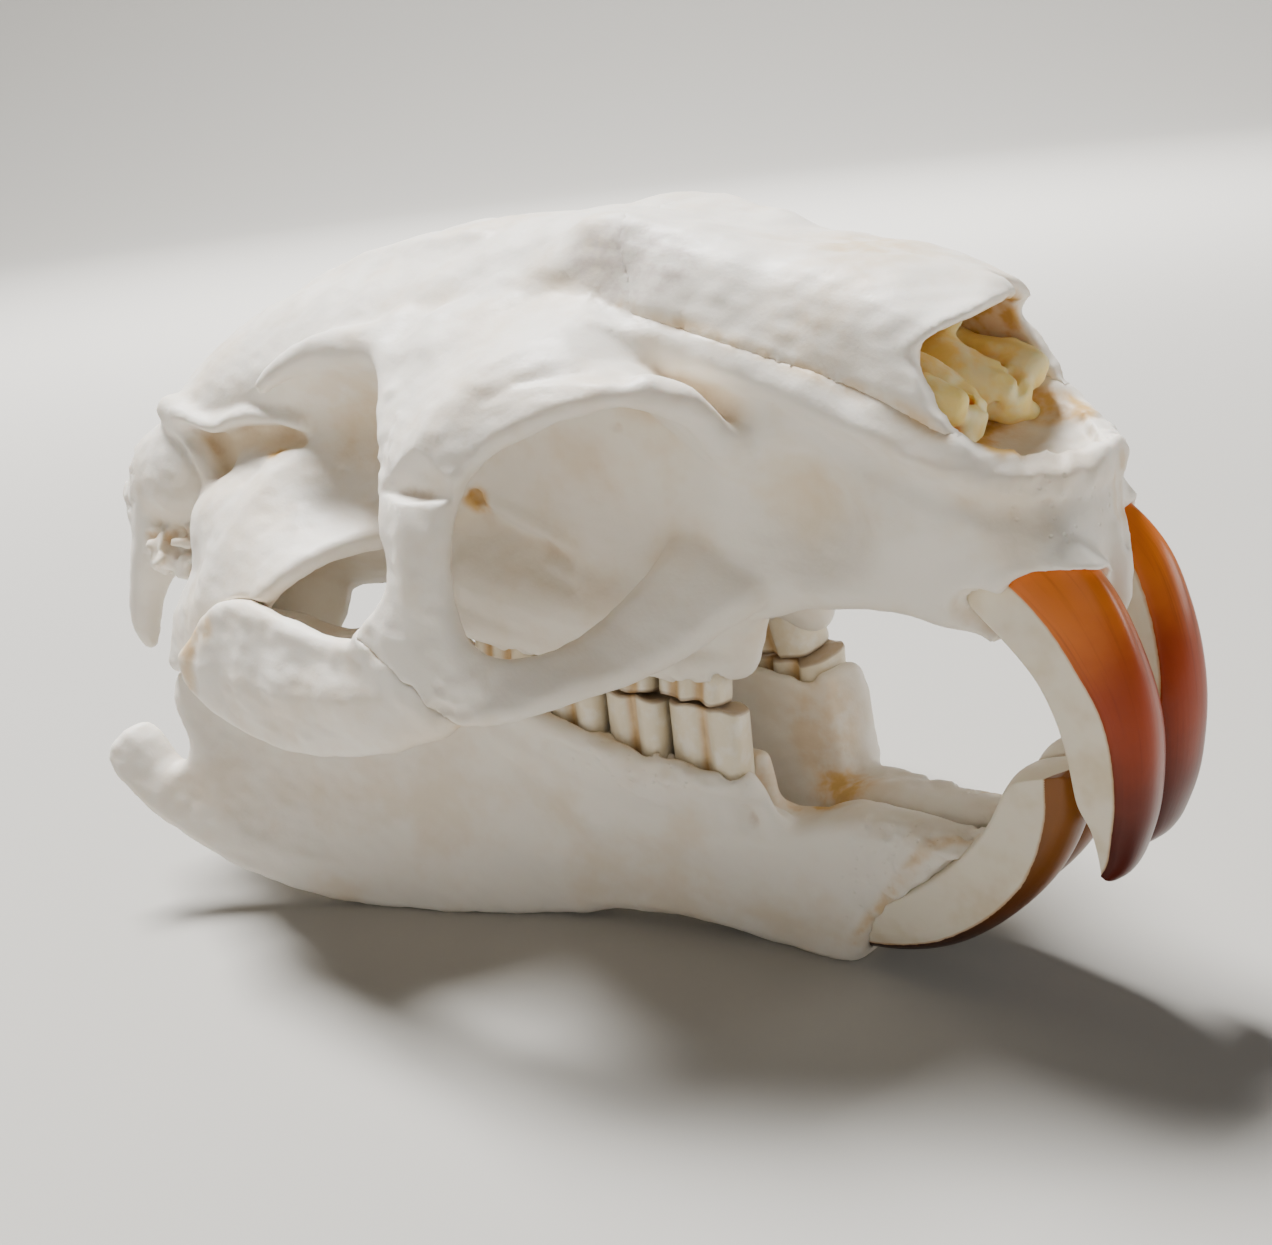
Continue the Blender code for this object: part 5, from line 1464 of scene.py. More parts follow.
    # Side outlines (x, z) that the specimen's left half is cut back to: nose tip and gum.
    far_cuts: Sequence[Rows] = (
        ((101, 66), (101.5, 63), (101.5, 60.8), (103.4, 59.6), (110, 60), (110, 66)),
        ((110.2, 41.5), (110.6, 43.6), (111.6, 45.2), (113.6, 46.6), (118, 47.4), (119, 41)))
    far_sides: tuple[float, float] = (1.2, 12.0)
    cheek_suture: Rows = (
        (54, 50), (55.6, 37.6), (57.4, 36.9), (58.6, 36), (60.2, 35.6), (61.6, 34.4), (62.8, 34.2),
        (64.2, 32.6), (65.6, 31.9), (67.2, 30.4), (69, 28), (80, 22), (92, 50))
    marks: Marks = (
        (((60, 0, 70.9), (68, 0, 71), (76, 0, 69.6), (84, 0, 67.8)), 4.2, 0.75),
        (((59, 9.6, 68.3), (65, 8.5, 69.6), (70, 7.8, 70), (75, 6.6, 69.4), (80, 5, 68.5)), 1.5, -0.4),
        (((64.6, 8.6, 69.2), (61, 9.8, 68), (56.4, 11.6, 66.2), (52.3, 14.2, 64), (50.6, 17.5, 62)), 2,
         0.75),
        (((66, 11.4, 67), (62.4, 13.2, 65), (59, 16, 63), (57, 19, 61)), 1.8, -0.35),
        (((52, 5.6, 69.2), (42, 4.6, 68.2), (30, 3.6, 66.2), (18, 2.6, 62.6), (8, 1.6, 58)), 1.1, -0.4),
        (((50, 8.4, 67.6), (40, 7.6, 66.4), (28, 6.6, 64), (16, 5.4, 60)), 2.2, 0.3),
        (((66, 25.4, 55.6), (69.6, 22.8, 58), (73, 21, 59.2), (76, 19.4, 59.3), (78.6, 18.6, 58.8)), 0.6,
         0.3),
        (((72, 14.2, 62.4), (77.5, 12.2, 61), (84, 11.4, 60.2), (88.7, 11, 58.9), (93.6, 11.2, 57)), 0.9,
         -0.35),
        (((16.3, 19.6, 53.4), (20.4, 19.8, 52.3), (22.8, 19.6, 51.8), (25.3, 19, 52.7),
         (27.5, 18.4, 53.1), (29.3, 17.9, 52.7), (33.7, 16.8, 52.2)), 0.7, -0.7),
        (((18.4, 19.4, 51.2), (22.6, 18.9, 50), (26, 18, 50.9), (33, 16.6, 50.3)), 1.2, 1.2),
        (((20.6, 18.4, 51), (23.4, 18.6, 48.4), (24.2, 19, 45.5), (23.2, 19.4, 42.5)), 1.1, 0.9),
        (((8.6, 21, 39), (13, 21.2, 39.5), (18, 21.4, 40.3), (22, 21.6, 41.4)), 0.45, 1.2),
        (((3, 19.4, 46.5), (9, 21, 47.5), (15, 21, 46.8)), 2.6, 0.3),
        (((89.8, 9.8, 50), (89.2, 9.8, 47)), 1.8, 0.6),
        (((88.6, 9.8, 44.2),), 3.6, 1.3),
        (((82, 13, 56), (87, 12.2, 54), (92, 12.2, 52.2), (96, 11.8, 50.6)), 2.2, 0.7),
        (((95, 12.2, 52), (98, 12, 50.8), (100.6, 11.8, 49.6), (102.6, 11.3, 48.6)), 1.3, 0.8),
        (((101, 12, 49.8), (103, 11.4, 48.8), (105.4, 10, 47.8), (107.4, 8.4, 46.9)), 1, 0.8),
        (((112.5, 0, 51), (112.8, 0, 48), (112.8, 0, 45), (112.4, 0, 42)), 0.55, 0.7),
        (((52.6, 11.1, 44.4), (57, 11, 42.8), (62.3, 11, 41)), 0.9, -0.5),
        (((53, 11.2, 42.6), (57.4, 11, 41), (62.6, 11, 39.2)), 1, 0.5),
        (((58.6, 12.2, 39.4), (61, 12.2, 37.8), (63.4, 12.2, 37)), 0.7, 0.5),
        (((54.3, 22, 57.5),), 0.9, -0.5),
        (((55.8, 24.2, 54.2),), 0.9, -0.55),
        (((57, 26.4, 50.4),), 0.8, -0.5),
        (((58.8, 28.2, 46.8),), 0.9, -0.35),
        (((103, 0, 38.2), (95, 0, 37.4), (84, 0, 36)), 0.8, 0.5),
        (((70, 3.2, 33), (60, 3.4, 32.6), (52, 3.8, 32.6)), 0.7, 0.5),
        (((0.6, 0, 52), (1.2, 0, 47), (2.6, 0, 44.5)), 0.9, -0.5),
        (((1.5, 8, 50), (1.5, 12, 47)), 2.5, 0.6))
    # Small holes: x, s, z and radius.
    holes: Rows = (
        (88.2, 8.3, 65.2, 0.4), (79.4, 11.5, 62.1, 0.4), (84.1, 11.1, 61.9, 0.3), (30.8, 18.4, 49.8, 0.6),
        (39.4, 17.1, 48.1, 0.4), (44, 17.9, 45.3, 0.45), (100.5, 11.5, 49.9, 0.45),
        (106.8, 9, 47.4, 0.35), (110.4, 7.3, 45.8, 0.35), (112.1, 7.1, 43.8, 0.3),
        (51.9, 11.3, 44.4, 0.9), (70.9, 11.3, 52.6, 0.5), (112.4, 1.6, 47.8, 0.35),
        (71.5, 12.2, 43.5, 0.4), (46.5, 17.4, 61.2, 0.35), (62, 4.6, 32.2, 0.7), (55, 4.4, 32.2, 0.5),
        (5, 14.6, 33, 0.7), (12, 9, 28.4, 0.8))
    broken: Broken = (
        ((109, 4.5, 50), (5, 7.5, 3.4), 1.7, 0.1),
        ((106, 7.5, 54), (4.5, 4, 4.5), 2.8, 0.12),
        ((14.5, 21.4, 37.6), (6, 3.6, 3.4), 2.1, 0.6),
        ((57, 27, 51), (2.6, 4, 9), 1.6, 0.12),
        ((101.5, 8.5, 58), (2.6, 3, 4), 2.6, 0.1),
        ((4, 17, 44), (5, 5, 6), 1.8, 0.12),
        ((66, 30, 33), (4, 4, 4), 1.7, 0.1),
        ((60, 11, 29.2), (20, 4, 1.9), 1.6, 0.14))
    stains: Stains = (
        (Ball((95, 0, 57.2), (14, 8.8, 6.2), -8), 1, 1),
        (Ball((90, 0, 58.4), (9, 7.6, 5.4), -8), 3, 1.1),
        (streak(0.1, (73, 11, 63.2), (86, 11.2, 59.8), (98, 11, 56), (103, 10.4, 53.4)), 0.9, 0.5),
        # Tan along the crease under the muzzle rim, partly painted shade in the crease.
        (streak(0.1, (96, 12, 51.6), (102.6, 11, 48.8), (107.4, 8, 46.9)), 0.9, 0.3),
        (streak(0.1, (112.6, 0.6, 50), (112.4, 0.6, 44)), 0.5, 0.5),
        (Ball((103.6, 6.6, 52), (3.4, 1.8, 1)), 0.9, 0.8),
        (streak(0.1, (8.6, 21, 39), (13, 21.2, 39.4), (22, 21.6, 41.4)), 0.8, 0.7),
        (streak(0.1, (57.6, 31.4, 36.8), (61.4, 31.4, 34.6), (67, 30.8, 30.6)), 0.9, 0.3),
        # Faint brown on the fossa before the cheek bar, partly painted shade that darkens the hollow.
        (Ball((88.8, 8.2, 45), (3.4, 1.6, 4.2)), 3.4, 0.14),
        (Ball((104.5, 7.4, 38.6), (1.6, 1, 1.6)), 1.8, 0.35),
        (Ball((51.9, 11.2, 44.2), (1, 1, 1)), 0.8, 0.7),
        # Tan over the orbit's hollow, darker there than the bone round it.
        (Ball((42, 13, 54), (8, 4, 5)), 3.5, 0.3),
        (streak(0.2, (77, 8, 28.8), (66, 10.4, 28.8), (52, 12.6, 30)), 0.9, 0.3),
        (Ball((30.8, 18.4, 49.8), (0.8, 0.8, 0.8)), 0.6, 0.9))
    rough: Sequence[Ball] = (
        Ball((110, 3, 48), (5, 9, 5)),
        Ball((14, 21, 38), (7, 4, 4)),
        Ball((4, 18, 44), (5, 5, 6)))
    matt: Sequence[Ball] = (Ball((73.5, 10, 67), (7.5, 4.4, 4.4)),)
    # Ear region, joints for the neck, crests and the long processes at the back.
    ear_forms: Forms = (
        (Ball((12.5, 15.6, 44.6), (10.6, 5.8, 6.6)), 1.2),
        (Ball((19.5, 12.5, 31.5), (9, 6.2, 7.6)), 1.5),
        (Rod([(15, 16, 36, 4), (12, 20.4, 37.6, 2.8)]), 1.5),
        (Ball((2.5, 7.5, 32), (3.6, 3.2, 5.4), 15), 1.5),
        (Rod([(6.8, 17.2, 39, 3.8), (5, 19, 35, 2.7), (3.8, 20.2, 31, 2), (3.8, 20.8, 27.6, 1.5),
         (4.2, 21, 25.9, 0.9)], 3), 1.5),
        (Rod([(5, 0, 55.4, 1.2), (6, 8, 53.6, 1.2), (6.4, 13, 49.6, 1.2), (4, 17.8, 43.8, 1.3)], 3), 1.5),
        (Rod([(13, 17.8, 53, 1.5), (17, 18.6, 52.2, 1.4), (22, 18.4, 51.6, 1.3), (27, 17.4, 52.6, 1.1),
         (33, 15.6, 52, 0.9)], 3), 1.6),
        (Rod([(14.5, 18, 51.6, 1.2), (18.6, 19, 49.4, 1.2), (20.8, 19.4, 46, 1.2),
         (20.4, 19.6, 42.6, 1.2), (16.6, 20, 40, 1.2), (9, 19.8, 38.8, 1.2), (4.2, 18.6, 40.4, 1.5),
         (2.6, 17.8, 42.8, 1.5)], 3), 0.8))
    # Roots of the cheek arch, and the bar behind the big opening.
    arch_forms: Forms = (
        (Skin([bar_rear, bar_middle, bar_front], 7), 2.2),
        (Skin([root_top, root_low], 4), 1.6),
        (Skin([temple_rear, temple_middle, temple_front], 7), 2.2),
        (Ball((26.5, 20.5, 41), (7.5, 4.6, 5.5)), 2.5),
        (Rod([(50, 16.4, 60, 2), (44, 16.2, 60.3, 1.9), (38, 17.2, 59.6, 1.6), (34.4, 18.8, 58, 1.1),
         (32.8, 19.8, 56.8, 0.7)], 3), 1.2),
        (Rod([(80, 17.6, 57.6, 1.3), (82.8, 14.4, 55.2, 1.2), (84.4, 12.6, 51, 1.1),
         (86.6, 11.6, 47.4, 0.7)], 3), 1.4))
    # The raised rim along the muzzle and round the nose, and the walls of tooth sockets.
    muzzle_forms: Forms = (
        (Rod([(64, 12.6, 61, 1.4), (72, 11.6, 59.8, 1.5), (80, 11, 58.8, 1.6), (88, 11, 57, 1.6),
         (95, 10.9, 54.2, 1.6), (101, 10.2, 51.4, 1.6), (105, 8.8, 49.8, 1.7), (108.6, 5.2, 49.2, 1.6),
         (110.8, 1.6, 49.2, 1.5)], 3), 1),
        (Rod([(77.6, 5.8, 33, 3.2), (73, 6.6, 33, 4.2), (66, 7.8, 33.6, 4.7), (58, 9.2, 34.4, 4.9),
         (51, 10, 35.6, 4.3)], 3), 2),
        (Rod([(78.4, 6.4, 30.2, 1.9), (76, 9.8, 30, 1.4), (73, 10.5, 30, 1.3), (70, 10.7, 30, 1.3),
         (64, 11.6, 30.3, 1.4), (57, 12.6, 31, 1.4), (50, 13.4, 32, 1.5)], 3), 1.8),
        (Rod([(49, 7.5, 33, 1.7), (43, 6.6, 31, 1.3), (37, 7.4, 29.6, 1)], 3), 1.5),
        (BentTooth(UPPER_PAIR, socket_wall, 30), 1),
        (Ball((105, 1.7, 51.6), (1.9, 1.3, 1.2)), 0.8))
    # The thin point of bone that hangs down between the incisors.
    spike: Forms = (
        (Rod([(111.4, 0, 44, 1.7), (112.1, 0, 41.2, 1.3), (112.5, 0, 38.6, 0.8),
         (112.4, 0, 36.9, 0.35)], 3), 0.5),)
    # Openings of the neck, palate and ear, and the hollows on the muzzle, which are carved.
    hollows: Forms = (
        (Ball((3, 0, 38.6), (12, 6.8, 5.8)), 1),
        (Rod([(46, 2.6, 29.5, 2.6), (54, 1.5, 30.6, 1.6)]), 1),
        (Rod([(14, 22, 39.5, 1.6), (16, 16, 37.5, 1.4)]), 0.6),
        (Rod([(84, 1.6, 35.6, 1), (96, 1.6, 37, 1)]), 0.6),
        (Ball((89, 14.2, 44.6), (7.6, 6.4, 7.4)), 2.2),
        (Ball((104.5, 8.8, 38.6), (2.4, 1.8, 2.4)), 0.8))
    nose_hollow: Ball = Ball((105, 0, 57), (18, 10.5, 7.2), -8)
    socket_sides: tuple[float, float] = (1.2, 40.0)
    # In front of this x the cheek bone is filleted into the skull, and starts past this width.
    cheek_front: float = 50.0
    cheek_inner: float = 27.8
    cheek_fillet: float = 1.4
    # The gap behind that, where the cheek bone lies against the temple.
    cheek_gap: float = 0.1
    # Corners of the fields of the cheek bone, of the form round the nose and of the skull.
    cheek_box: Rows = ((21.6, 23.9, 19.8), (70, 36, 44))
    nose_box: Rows = ((85, 0, 48), (106, 12, 66))
    skull_box: Rows = ((-3.15, 0, 19.8), (119, 35, 74))

    def openings(self, skull: Volume, trunk: Array) -> None:
        """Everything that is carved: hollows, the nose, the gum's edge and the tooth sockets."""
        for shape, blend in self.hollows:
            skull.carve(shape, blend)
        x, s, z = skull.everywhere()
        inside = self.nose_hollow.distance(x, s, z)
        skull.limit(-smooth_max(trunk + self.nose_wall, inside, 1.0), 0.6)
        skull.carve(Slab(self.nose_cut), 0.5)
        gum = z - np.interp(s, *np.array(self.gum_arch, float).T)
        cut = Slab(self.socket_cut, self.socket_sides).distance(x, s, z)
        skull.limit(-smooth_max(cut, gum, 0.6), 0.5)
        skull.carve(BentTooth(UPPER_PAIR), 0.2, grow=GUM)
        carve_sockets(skull, True)

    def cheek(self, skull: Volume, shape: Skin) -> Volume:
        """Part the cheek bone from the skull, flush with it along its front suture.

        At the back the plate only lies against the skull. In front both are one filleted form,
        and the suture's outline in the side view parts it in two.

        Args:
            skull: the upper skull, which loses what belongs to the cheek bone.
            shape: the cheek bone's plate.

        Returns:
            The cheek bone's field.
        """
        x, s, z = skull.everywhere()
        plate = shape.distance(x, s, z)
        line = np.array(self.cheek_suture, float)
        ahead = outline_distance(line, x[:, 0, :], z[0], closed=True)[:, None, :]
        share = np.maximum(-ahead, self.cheek_inner - s)
        whole = smooth_min(skull.values, plate, self.cheek_fillet)
        front = x > self.cheek_front
        bone = np.where(front, np.maximum(whole, share - LAP / 2) - PROUD, plate)
        behind = np.maximum(skull.values, self.cheek_gap - plate)
        skull.values = np.where(front, np.maximum(whole, -share), behind).astype(np.float32)
        return skull.part(*self.cheek_box, bone)

    def nose_bones(self, skull: Volume, trunk: Array) -> Volume:
        """Part the nose bones from the skull along a finely toothed seam.

        Args:
            skull: the upper skull, which loses what belongs to the nose bones.
            trunk: the outer form, under which the nose bones are a thin lid.

        Returns:
            The field of the nose bones, which lap over the skull.
        """
        x, s, z = skull.everywhere()
        foot = np.interp(x, *np.array(self.nasal_edge).T)
        teeth = 0.2 * np.sin(1.9 * s) + 0.1 * np.sin(4.3 * s + 1.0)
        back = self.nasal_back + self.nasal_back_bow * s * s + teeth - x
        grooves = ((self.side_groove, z - foot, (s > 5) * (x > 70)),
                   (self.back_groove, back, z > foot),
                   (self.middle_groove, s, ease(x, 42, 52) * (z > 58)))
        skull.values += sum(depth * bell(gap, width) * where
                            for (depth, width), gap, where in grooves).astype(np.float32)
        lid = np.maximum(-trunk - self.nasal_thickness, foot - z)
        lapped = np.maximum(lid - LAP, back - self.nasal_back_lap)
        nasal = np.maximum(skull.values - PROUD, lapped).astype(np.float32)
        skull.limit(-np.maximum(lid, back))
        return Volume(skull.axes, nasal)

    def build(self, finish: Material, plate: Skin) -> tuple[Volume, Volume, Volume]:
        """The cranium and the nose bones.

        Args:
            finish: the bone's material.
            plate: the cheek bone's shape.

        Returns:
            The upper skull's field, for the lower jaw to keep clear of, the cheek bone's, and
            the outer form round the nose.
        """
        skull = Volume.between(*self.skull_box)
        skull.join(Loft(self.trunk, 3.5), 0.0)
        trunk = skull.values.copy()
        nose = skull.part(*self.nose_box, trunk)
        skull.join_all(self.ear_forms + self.arch_forms + self.muzzle_forms)
        self.openings(skull, trunk)
        skull.join_all(self.spike)
        skull.weather(self.marks, self.holes, self.broken, seed=31)
        cheek = self.cheek(skull, plate)
        nasal = self.nose_bones(skull, trunk)
        looks = (self.stains, self.rough, self.matt)
        BonePiece("cranium_bone", self.whole(skull), ("cranium",), *looks).build(finish)
        BonePiece("nasal_bone_pair", self.whole(nasal), ("nasal_bones",), *looks,
                  budget=70_000).build(finish)
        return skull, cheek, nose

    def whole(self, half: Volume) -> Volume:
        """Both halves of a field, with the left one's edges cut back as on the specimen."""
        both = half.placed(Side.BOTH)
        for cut in self.far_cuts:
            both.carve(Slab(cut, self.far_sides), 0.5)
        return both


@dataclass
class NoseScrolls:
    """Rolled bones inside the nose: a fold under the roof, a scroll, a fold on the floor.

    Lobes: a chain of (x, s, z, radius) points. Cracks: lines that are carved, with a radius.
    """

    lobes: Sequence[Rows] = (
        ((86, 4.6, 61.4, 2.2), (92, 4.8, 60, 2), (95.4, 5, 59.2, 1.6)),
        ((86, 3.6, 57.4, 2.9), (93, 3.5, 56, 3), (98, 3.5, 54.4, 2.7), (101, 3.8, 53.2, 2.2)),
        ((88, 6.2, 53.6, 1.9), (95, 6.2, 52.2, 1.8), (101.4, 6.2, 50.9, 1.4)),
        ((94, 7.4, 57, 2), (101.6, 7, 55, 1.5)))
    cracks: Sequence[Rows] = (
        ((102.8, 5.5, 56.7, 0.75), (99, 5.2, 57.2, 0.7)),
        ((103, 5.6, 55.8, 0.25), (102.8, 3.4, 54.4, 0.4), (102.4, 1.2, 52.8, 0.6), (102.2, 1, 50.6, 0.8)))
    crack_deep: float = 3.0
    uneven: Broken = (((101, 4, 56), (5, 8, 8), 2.2, 0.07), ((94, 4, 57), (12, 8, 8), 7.0, 0.3))
    # The free space in the midplane, and how far under the skull's outer form the bones stay.
    septum: float = 0.28
    depth: float = 0.9

    def build(self, trunk: Volume) -> None:
        """The rolled bones, set a little into the nose's wall and never through it.

        Args:
            trunk: the skull's outer form round the nose.
        """
        rolled = Volume(trunk.axes)
        for lobe in self.lobes:
            rolled.join(Rod(lobe, 4), 1.6)
        for crack in self.cracks:
            for deep in (0, self.crack_deep, self.crack_deep / 2):
                rolled.carve(Rod(np.array(crack, float) - [deep, 0, 0, 0], 3), 0.3)
        rolled.weather((), (), self.uneven[:1], 61)
        rolled.weather((), (), self.uneven[1:], 62)
        _, s, _ = rolled.everywhere()
        rolled.limit(self.septum - s, 0.5)
        rolled.limit(trunk.values + self.depth)
        finish = ThinBone().material()
        for side in HALVES:
            BonePiece(f"nose_scroll_{side.word}", rolled.placed(side), (),
                      budget=40_000).build(finish)


@dataclass
class CheekBones:
    """The deep plates of both cheek bones: upper, middle and lower lines."""

    top: Rows = (
        (29.4, 30.3, 33.2, 1.2), (33.4, 30, 36.2, 1.2), (38, 30, 36.9, 1.3), (42.6, 30.4, 36.2, 1.3),
        (47.6, 30.8, 35.6, 1.3), (52, 31, 35.4, 1.3), (56.2, 31, 35.6, 1.2))
    middle: Rows = (
        (27.4, 31, 30.8, 1.2), (31.4, 31.1, 31, 1.4), (37.6, 31.5, 30.6, 1.6), (44, 31.9, 30.6, 1.7),
        (50, 32, 31, 1.7), (55.6, 31.8, 32, 1.6), (60.2, 31.2, 33.2, 1.4))
    low: Rows = (
        (27.4, 30.9, 28.8, 1.1), (31.6, 31, 26.6, 1.2), (38, 31.1, 25.3, 1.3), (45, 31.3, 25.3, 1.3),
        (52, 31.3, 26.4, 1.3), (58.4, 31.1, 28.3, 1.3), (64.4, 30.9, 30.6, 1.2))
    marks: Marks = (
        (((33.4, 31.6, 35.4), (38, 31.8, 36), (46, 32.2, 34.8), (54, 32.4, 34.4)), 1.6, 0.2),
        (((31, 33, 28), (38, 33.4, 26.6), (48, 33.4, 26.8), (58, 33, 29.4)), 1.6, -0.15),
        (((36, 33, 31), (50, 33.6, 31)), 4.5, 0.3),
        (((30.6, 32, 34.6), (29.6, 32.4, 31.6), (29.4, 32.4, 28.4)), 0.9, 0.35))
    stains: Stains = (
        (streak(0.5, (31.6, 31, 35), (28.6, 31, 32), (28, 31, 28.6)), 1.5, 0.6),
        (streak(0.1, (57.6, 31.4, 36.8), (61.4, 31.4, 34.6), (67, 30.8, 30.6)), 0.9, 0.5),
        (streak(0.5, (36, 29, 33), (50, 29, 33)), 1.6, 0.3))

    def plate(self) -> Skin:
        """The plate's shape."""
        return Skin([self.top, self.middle, self.low], 5)

    def build(self, finish: Material, volume: Volume) -> None:
        """The left and the right cheek bone, from the field that the skull leaves them."""
        volume.weather(self.marks)
        for side in HALVES:
            node = f"jugal_{side.word}"
            BonePiece(node + "_bone", volume.placed(side), (node,), self.stains,
                      budget=60_000).build(finish)


@dataclass
class LowerJaw:
    """Both halves of the lower jaw: a side outline, and where its plate lies and how thick.

    Lie: x, z, distance from the midplane, half thickness, carried smoothly in between.
    """

    outline: Rows = (
        (88.4, -0.6), (91.2, 6), (95.4, 9.8), (99.2, 13.2), (102.2, 15.8), (98.8, 15.4), (93.6, 15.6),
        (88, 15.6), (82.8, 14.2), (79.6, 14.8), (78.4, 17), (77.8, 18.8), (74.6, 18.9), (68, 20.6),
        (62, 22.4), (56, 24.4), (51.4, 26), (48, 28.6), (45, 34.5), (42.6, 35.4), (39.5, 31.5),
        (35, 31.2), (30, 32.6), (22, 30.5), (16.6, 27.4), (15.6, 23), (18, 17.8), (16.8, 16.2),
        (14.2, 19.2), (12.2, 20.4), (10.2, 18), (12, 14.6), (17, 10), (24, 4.8), (33, 0.8), (44, -0.5),
        (56, 0), (65, 1.3), (74, 0.9), (82, -0.7))
    lie: Rows = (
        (103, 18.5, 3, 2.2), (100, 15, 3.2, 2.8), (95, 10, 3.5, 3.1), (88, 2, 3.4, 2.9), (90, 15, 3.3, 3),
        (80, 1, 4.6, 2.4), (82, 9, 4.8, 3.8), (79, 17, 7, 3.4), (72, 1, 7, 1.8), (72, 10, 7.4, 3.2),
        (72, 20, 8.2, 3.5), (64, 1, 9.2, 1.6), (64, 10, 9.4, 2.8), (64, 22, 9.4, 3.7), (55, 0, 12.6, 1.4),
        (56, 12, 11.6, 2.6), (56, 25, 10.4, 3.7), (46, 0, 17, 1.3), (46, 12, 15, 1.7),
        (48, 27, 12.4, 2.8), (43, 34, 15.5, 1), (36, 1, 21, 1.2), (36, 14, 18.6, 1.2),
        (36, 29, 18.4, 1.7), (25, 6, 26.6, 1.2), (25, 18, 22.4, 1.3), (25, 30, 21.6, 2.6),
        (18, 26, 23.2, 1.8), (17, 13, 29.6, 1.3), (11, 18, 31.6, 1.1))
    # Walls of the cheek teeth's sockets, and the spur in front of the first tooth.
    outer_wall: Rows = (
        (79.8, 9.4, 18.4, 1.3), (75.6, 10.9, 18.9, 1.3), (72.2, 11.3, 19.4, 1.3), (67.5, 12.1, 20.2, 1.3),
        (63.8, 12.7, 21.2, 1.3), (58, 13.4, 22.8, 1.3), (52, 13.9, 25, 1.2))
    outer_low: Rows = (
        (78, 9, 15.6, 1.7), (73, 10.2, 16.4, 1.8), (66, 11.4, 17.4, 1.8), (60, 12.4, 18.4, 1.8),
        (54, 13, 20.4, 1.7))
    inner_top: Rows = (
        (78.6, 5, 22.2, 0.7), (76, 4.3, 23.2, 0.6), (70, 4.6, 23.8, 0.6), (63, 5.9, 24.2, 0.7),
        (56, 7.4, 24.7, 0.7), (50, 9.2, 25.6, 0.7))
    # The left half's higher wall in front of its first tooth, outer and inner line.
    far_wall: Sequence[Rows] = (
        ((81.4, 9, 15, 1.6), (81.2, 8.7, 19.4, 1.5), (80.8, 8.2, 23.4, 1.3)),
        ((80.8, 5, 14.6, 1.4), (80.2, 5.3, 19.4, 1.1), (79.6, 5.6, 23.4, 0.9)))
    # Side outline (x, z) where the right half is broken away in front of that tooth, and its sides.
    near_cut: Rows = (
        (76, 27), (76, 20.4), (79.9, 19.8), (80.7, 18.4), (81.2, 16.6), (82.6, 15.3), (88, 17), (88, 27))
    near_sides: tuple[float, float] = (-8.0, 2.0)
    inner_low: Rows = (
        (79.8, 4.6, 12, 1), (76, 4.8, 12, 1), (70, 5.8, 12, 1), (63, 7.6, 12.5, 1), (56, 9.8, 13.5, 1),
        (50, 12, 15, 1))
    spur: Rows = ((79.8, 9, 18.8, 0.6), (81, 8.4, 17.6, 0.8), (82, 7.6, 15, 1.4))
    # The dip in the middle, in front of both rows of teeth.
    dip: Rows = ((82.4, 2.2, 26, 2.2), (82.4, 2.0, 18.4, 2.2), (83.6, 1.4, 15.8, 1.4))
    marks: Marks = (
        (((63, 12.8, 12.6), (60, 13.6, 15.6), (56, 14.4, 18.6), (51, 15.4, 23.6), (47, 15.6, 28)), 1.7,
         -0.6),
        (((58, 14.6, 12), (52, 15.6, 15), (46, 16.6, 19)), 3.2, 0.5),
        (((78, 10.6, 15.4), (72, 11.2, 15.8), (66, 12.2, 17), (60, 13.4, 19)), 1.3, 0.3),
        (((84, 9, 10), (76, 10.4, 7.5), (66, 11.4, 5)), 3, 0.3),
        (((95, 6.4, 10.8), (92, 6.6, 6), (89.4, 6, 2)), 1.4, -0.3),
        (((40, 21.4, 4), (30, 25, 6), (22, 27.6, 9), (16, 30, 13.4)), 1.4, -0.4),
        (((45, 14, 8), (36, 17.6, 12), (28, 21, 15)), 3, 0.4),
        (((84, 0.6, 8), (92, 0.6, 5)), 0.6, 0.3))
    # Small holes: x, s, z and radius.
    holes: Rows = (
        (85.5, 8.4, 9.8, 0.6), (83, 9.4, 11.8, 0.3), (90.6, 7, 8.6, 0.3), (40, 16.2, 22, 0.5))
    broken: Broken = (
        ((96, 5, 9.5), (9, 4, 9), 2.4, 0.15),
        ((101, 3.4, 15.4), (4, 4, 3), 1.8, 0.2),
        ((66, 11, 20.6), (18, 4.5, 3), 2, 0.13),
        ((97, 5.5, 11), (6, 3.4, 8), 1.2, 0.12))
    stains: Stains = (
        (streak(0.2, (79, 9.6, 19.4), (72.2, 10.6, 20.8), (63.8, 12.3, 22.8), (52, 13.6, 26.2)), 0.8,
         0.4),
        (streak(0.2, (89, 6, 3), (94.8, 6.4, 11.3), (97.6, 5.2, 15.1), (102, 4.6, 16.6)), 0.8, 0.55),
        (Ball((83, 2.2, 13.9), (1.5, 1, 0.6)), 2.2, 0.85),
        (Ball((80, 4, 19), (2.6, 3, 4)), 2, 0.4),
        (Ball((84, 1, 9), (3, 1, 3)), 2, 0.3))
    rough: Sequence[Ball] = (Ball((95, 5, 8), (9, 5, 10)), Ball((66, 11, 20), (18, 4.5, 3.4)))
    # Half the gap between both halves at the chin.
    chin_gap: float = 0.06
    # The knob of the joint with the upper skull.
    joint: Ball = Ball((24, 21.6, 29.6), (8, 2.9, 3.4), 8)
    # Corners of the jaw's field, and below them the box round its outlined plate.
    field_box: Rows = ((5.85, 0, -1.8), (108, 36, 40))
    low = np.array([7.0, 0.0, -2.0])
    high = np.array([107.0, 35.0, 39.0])

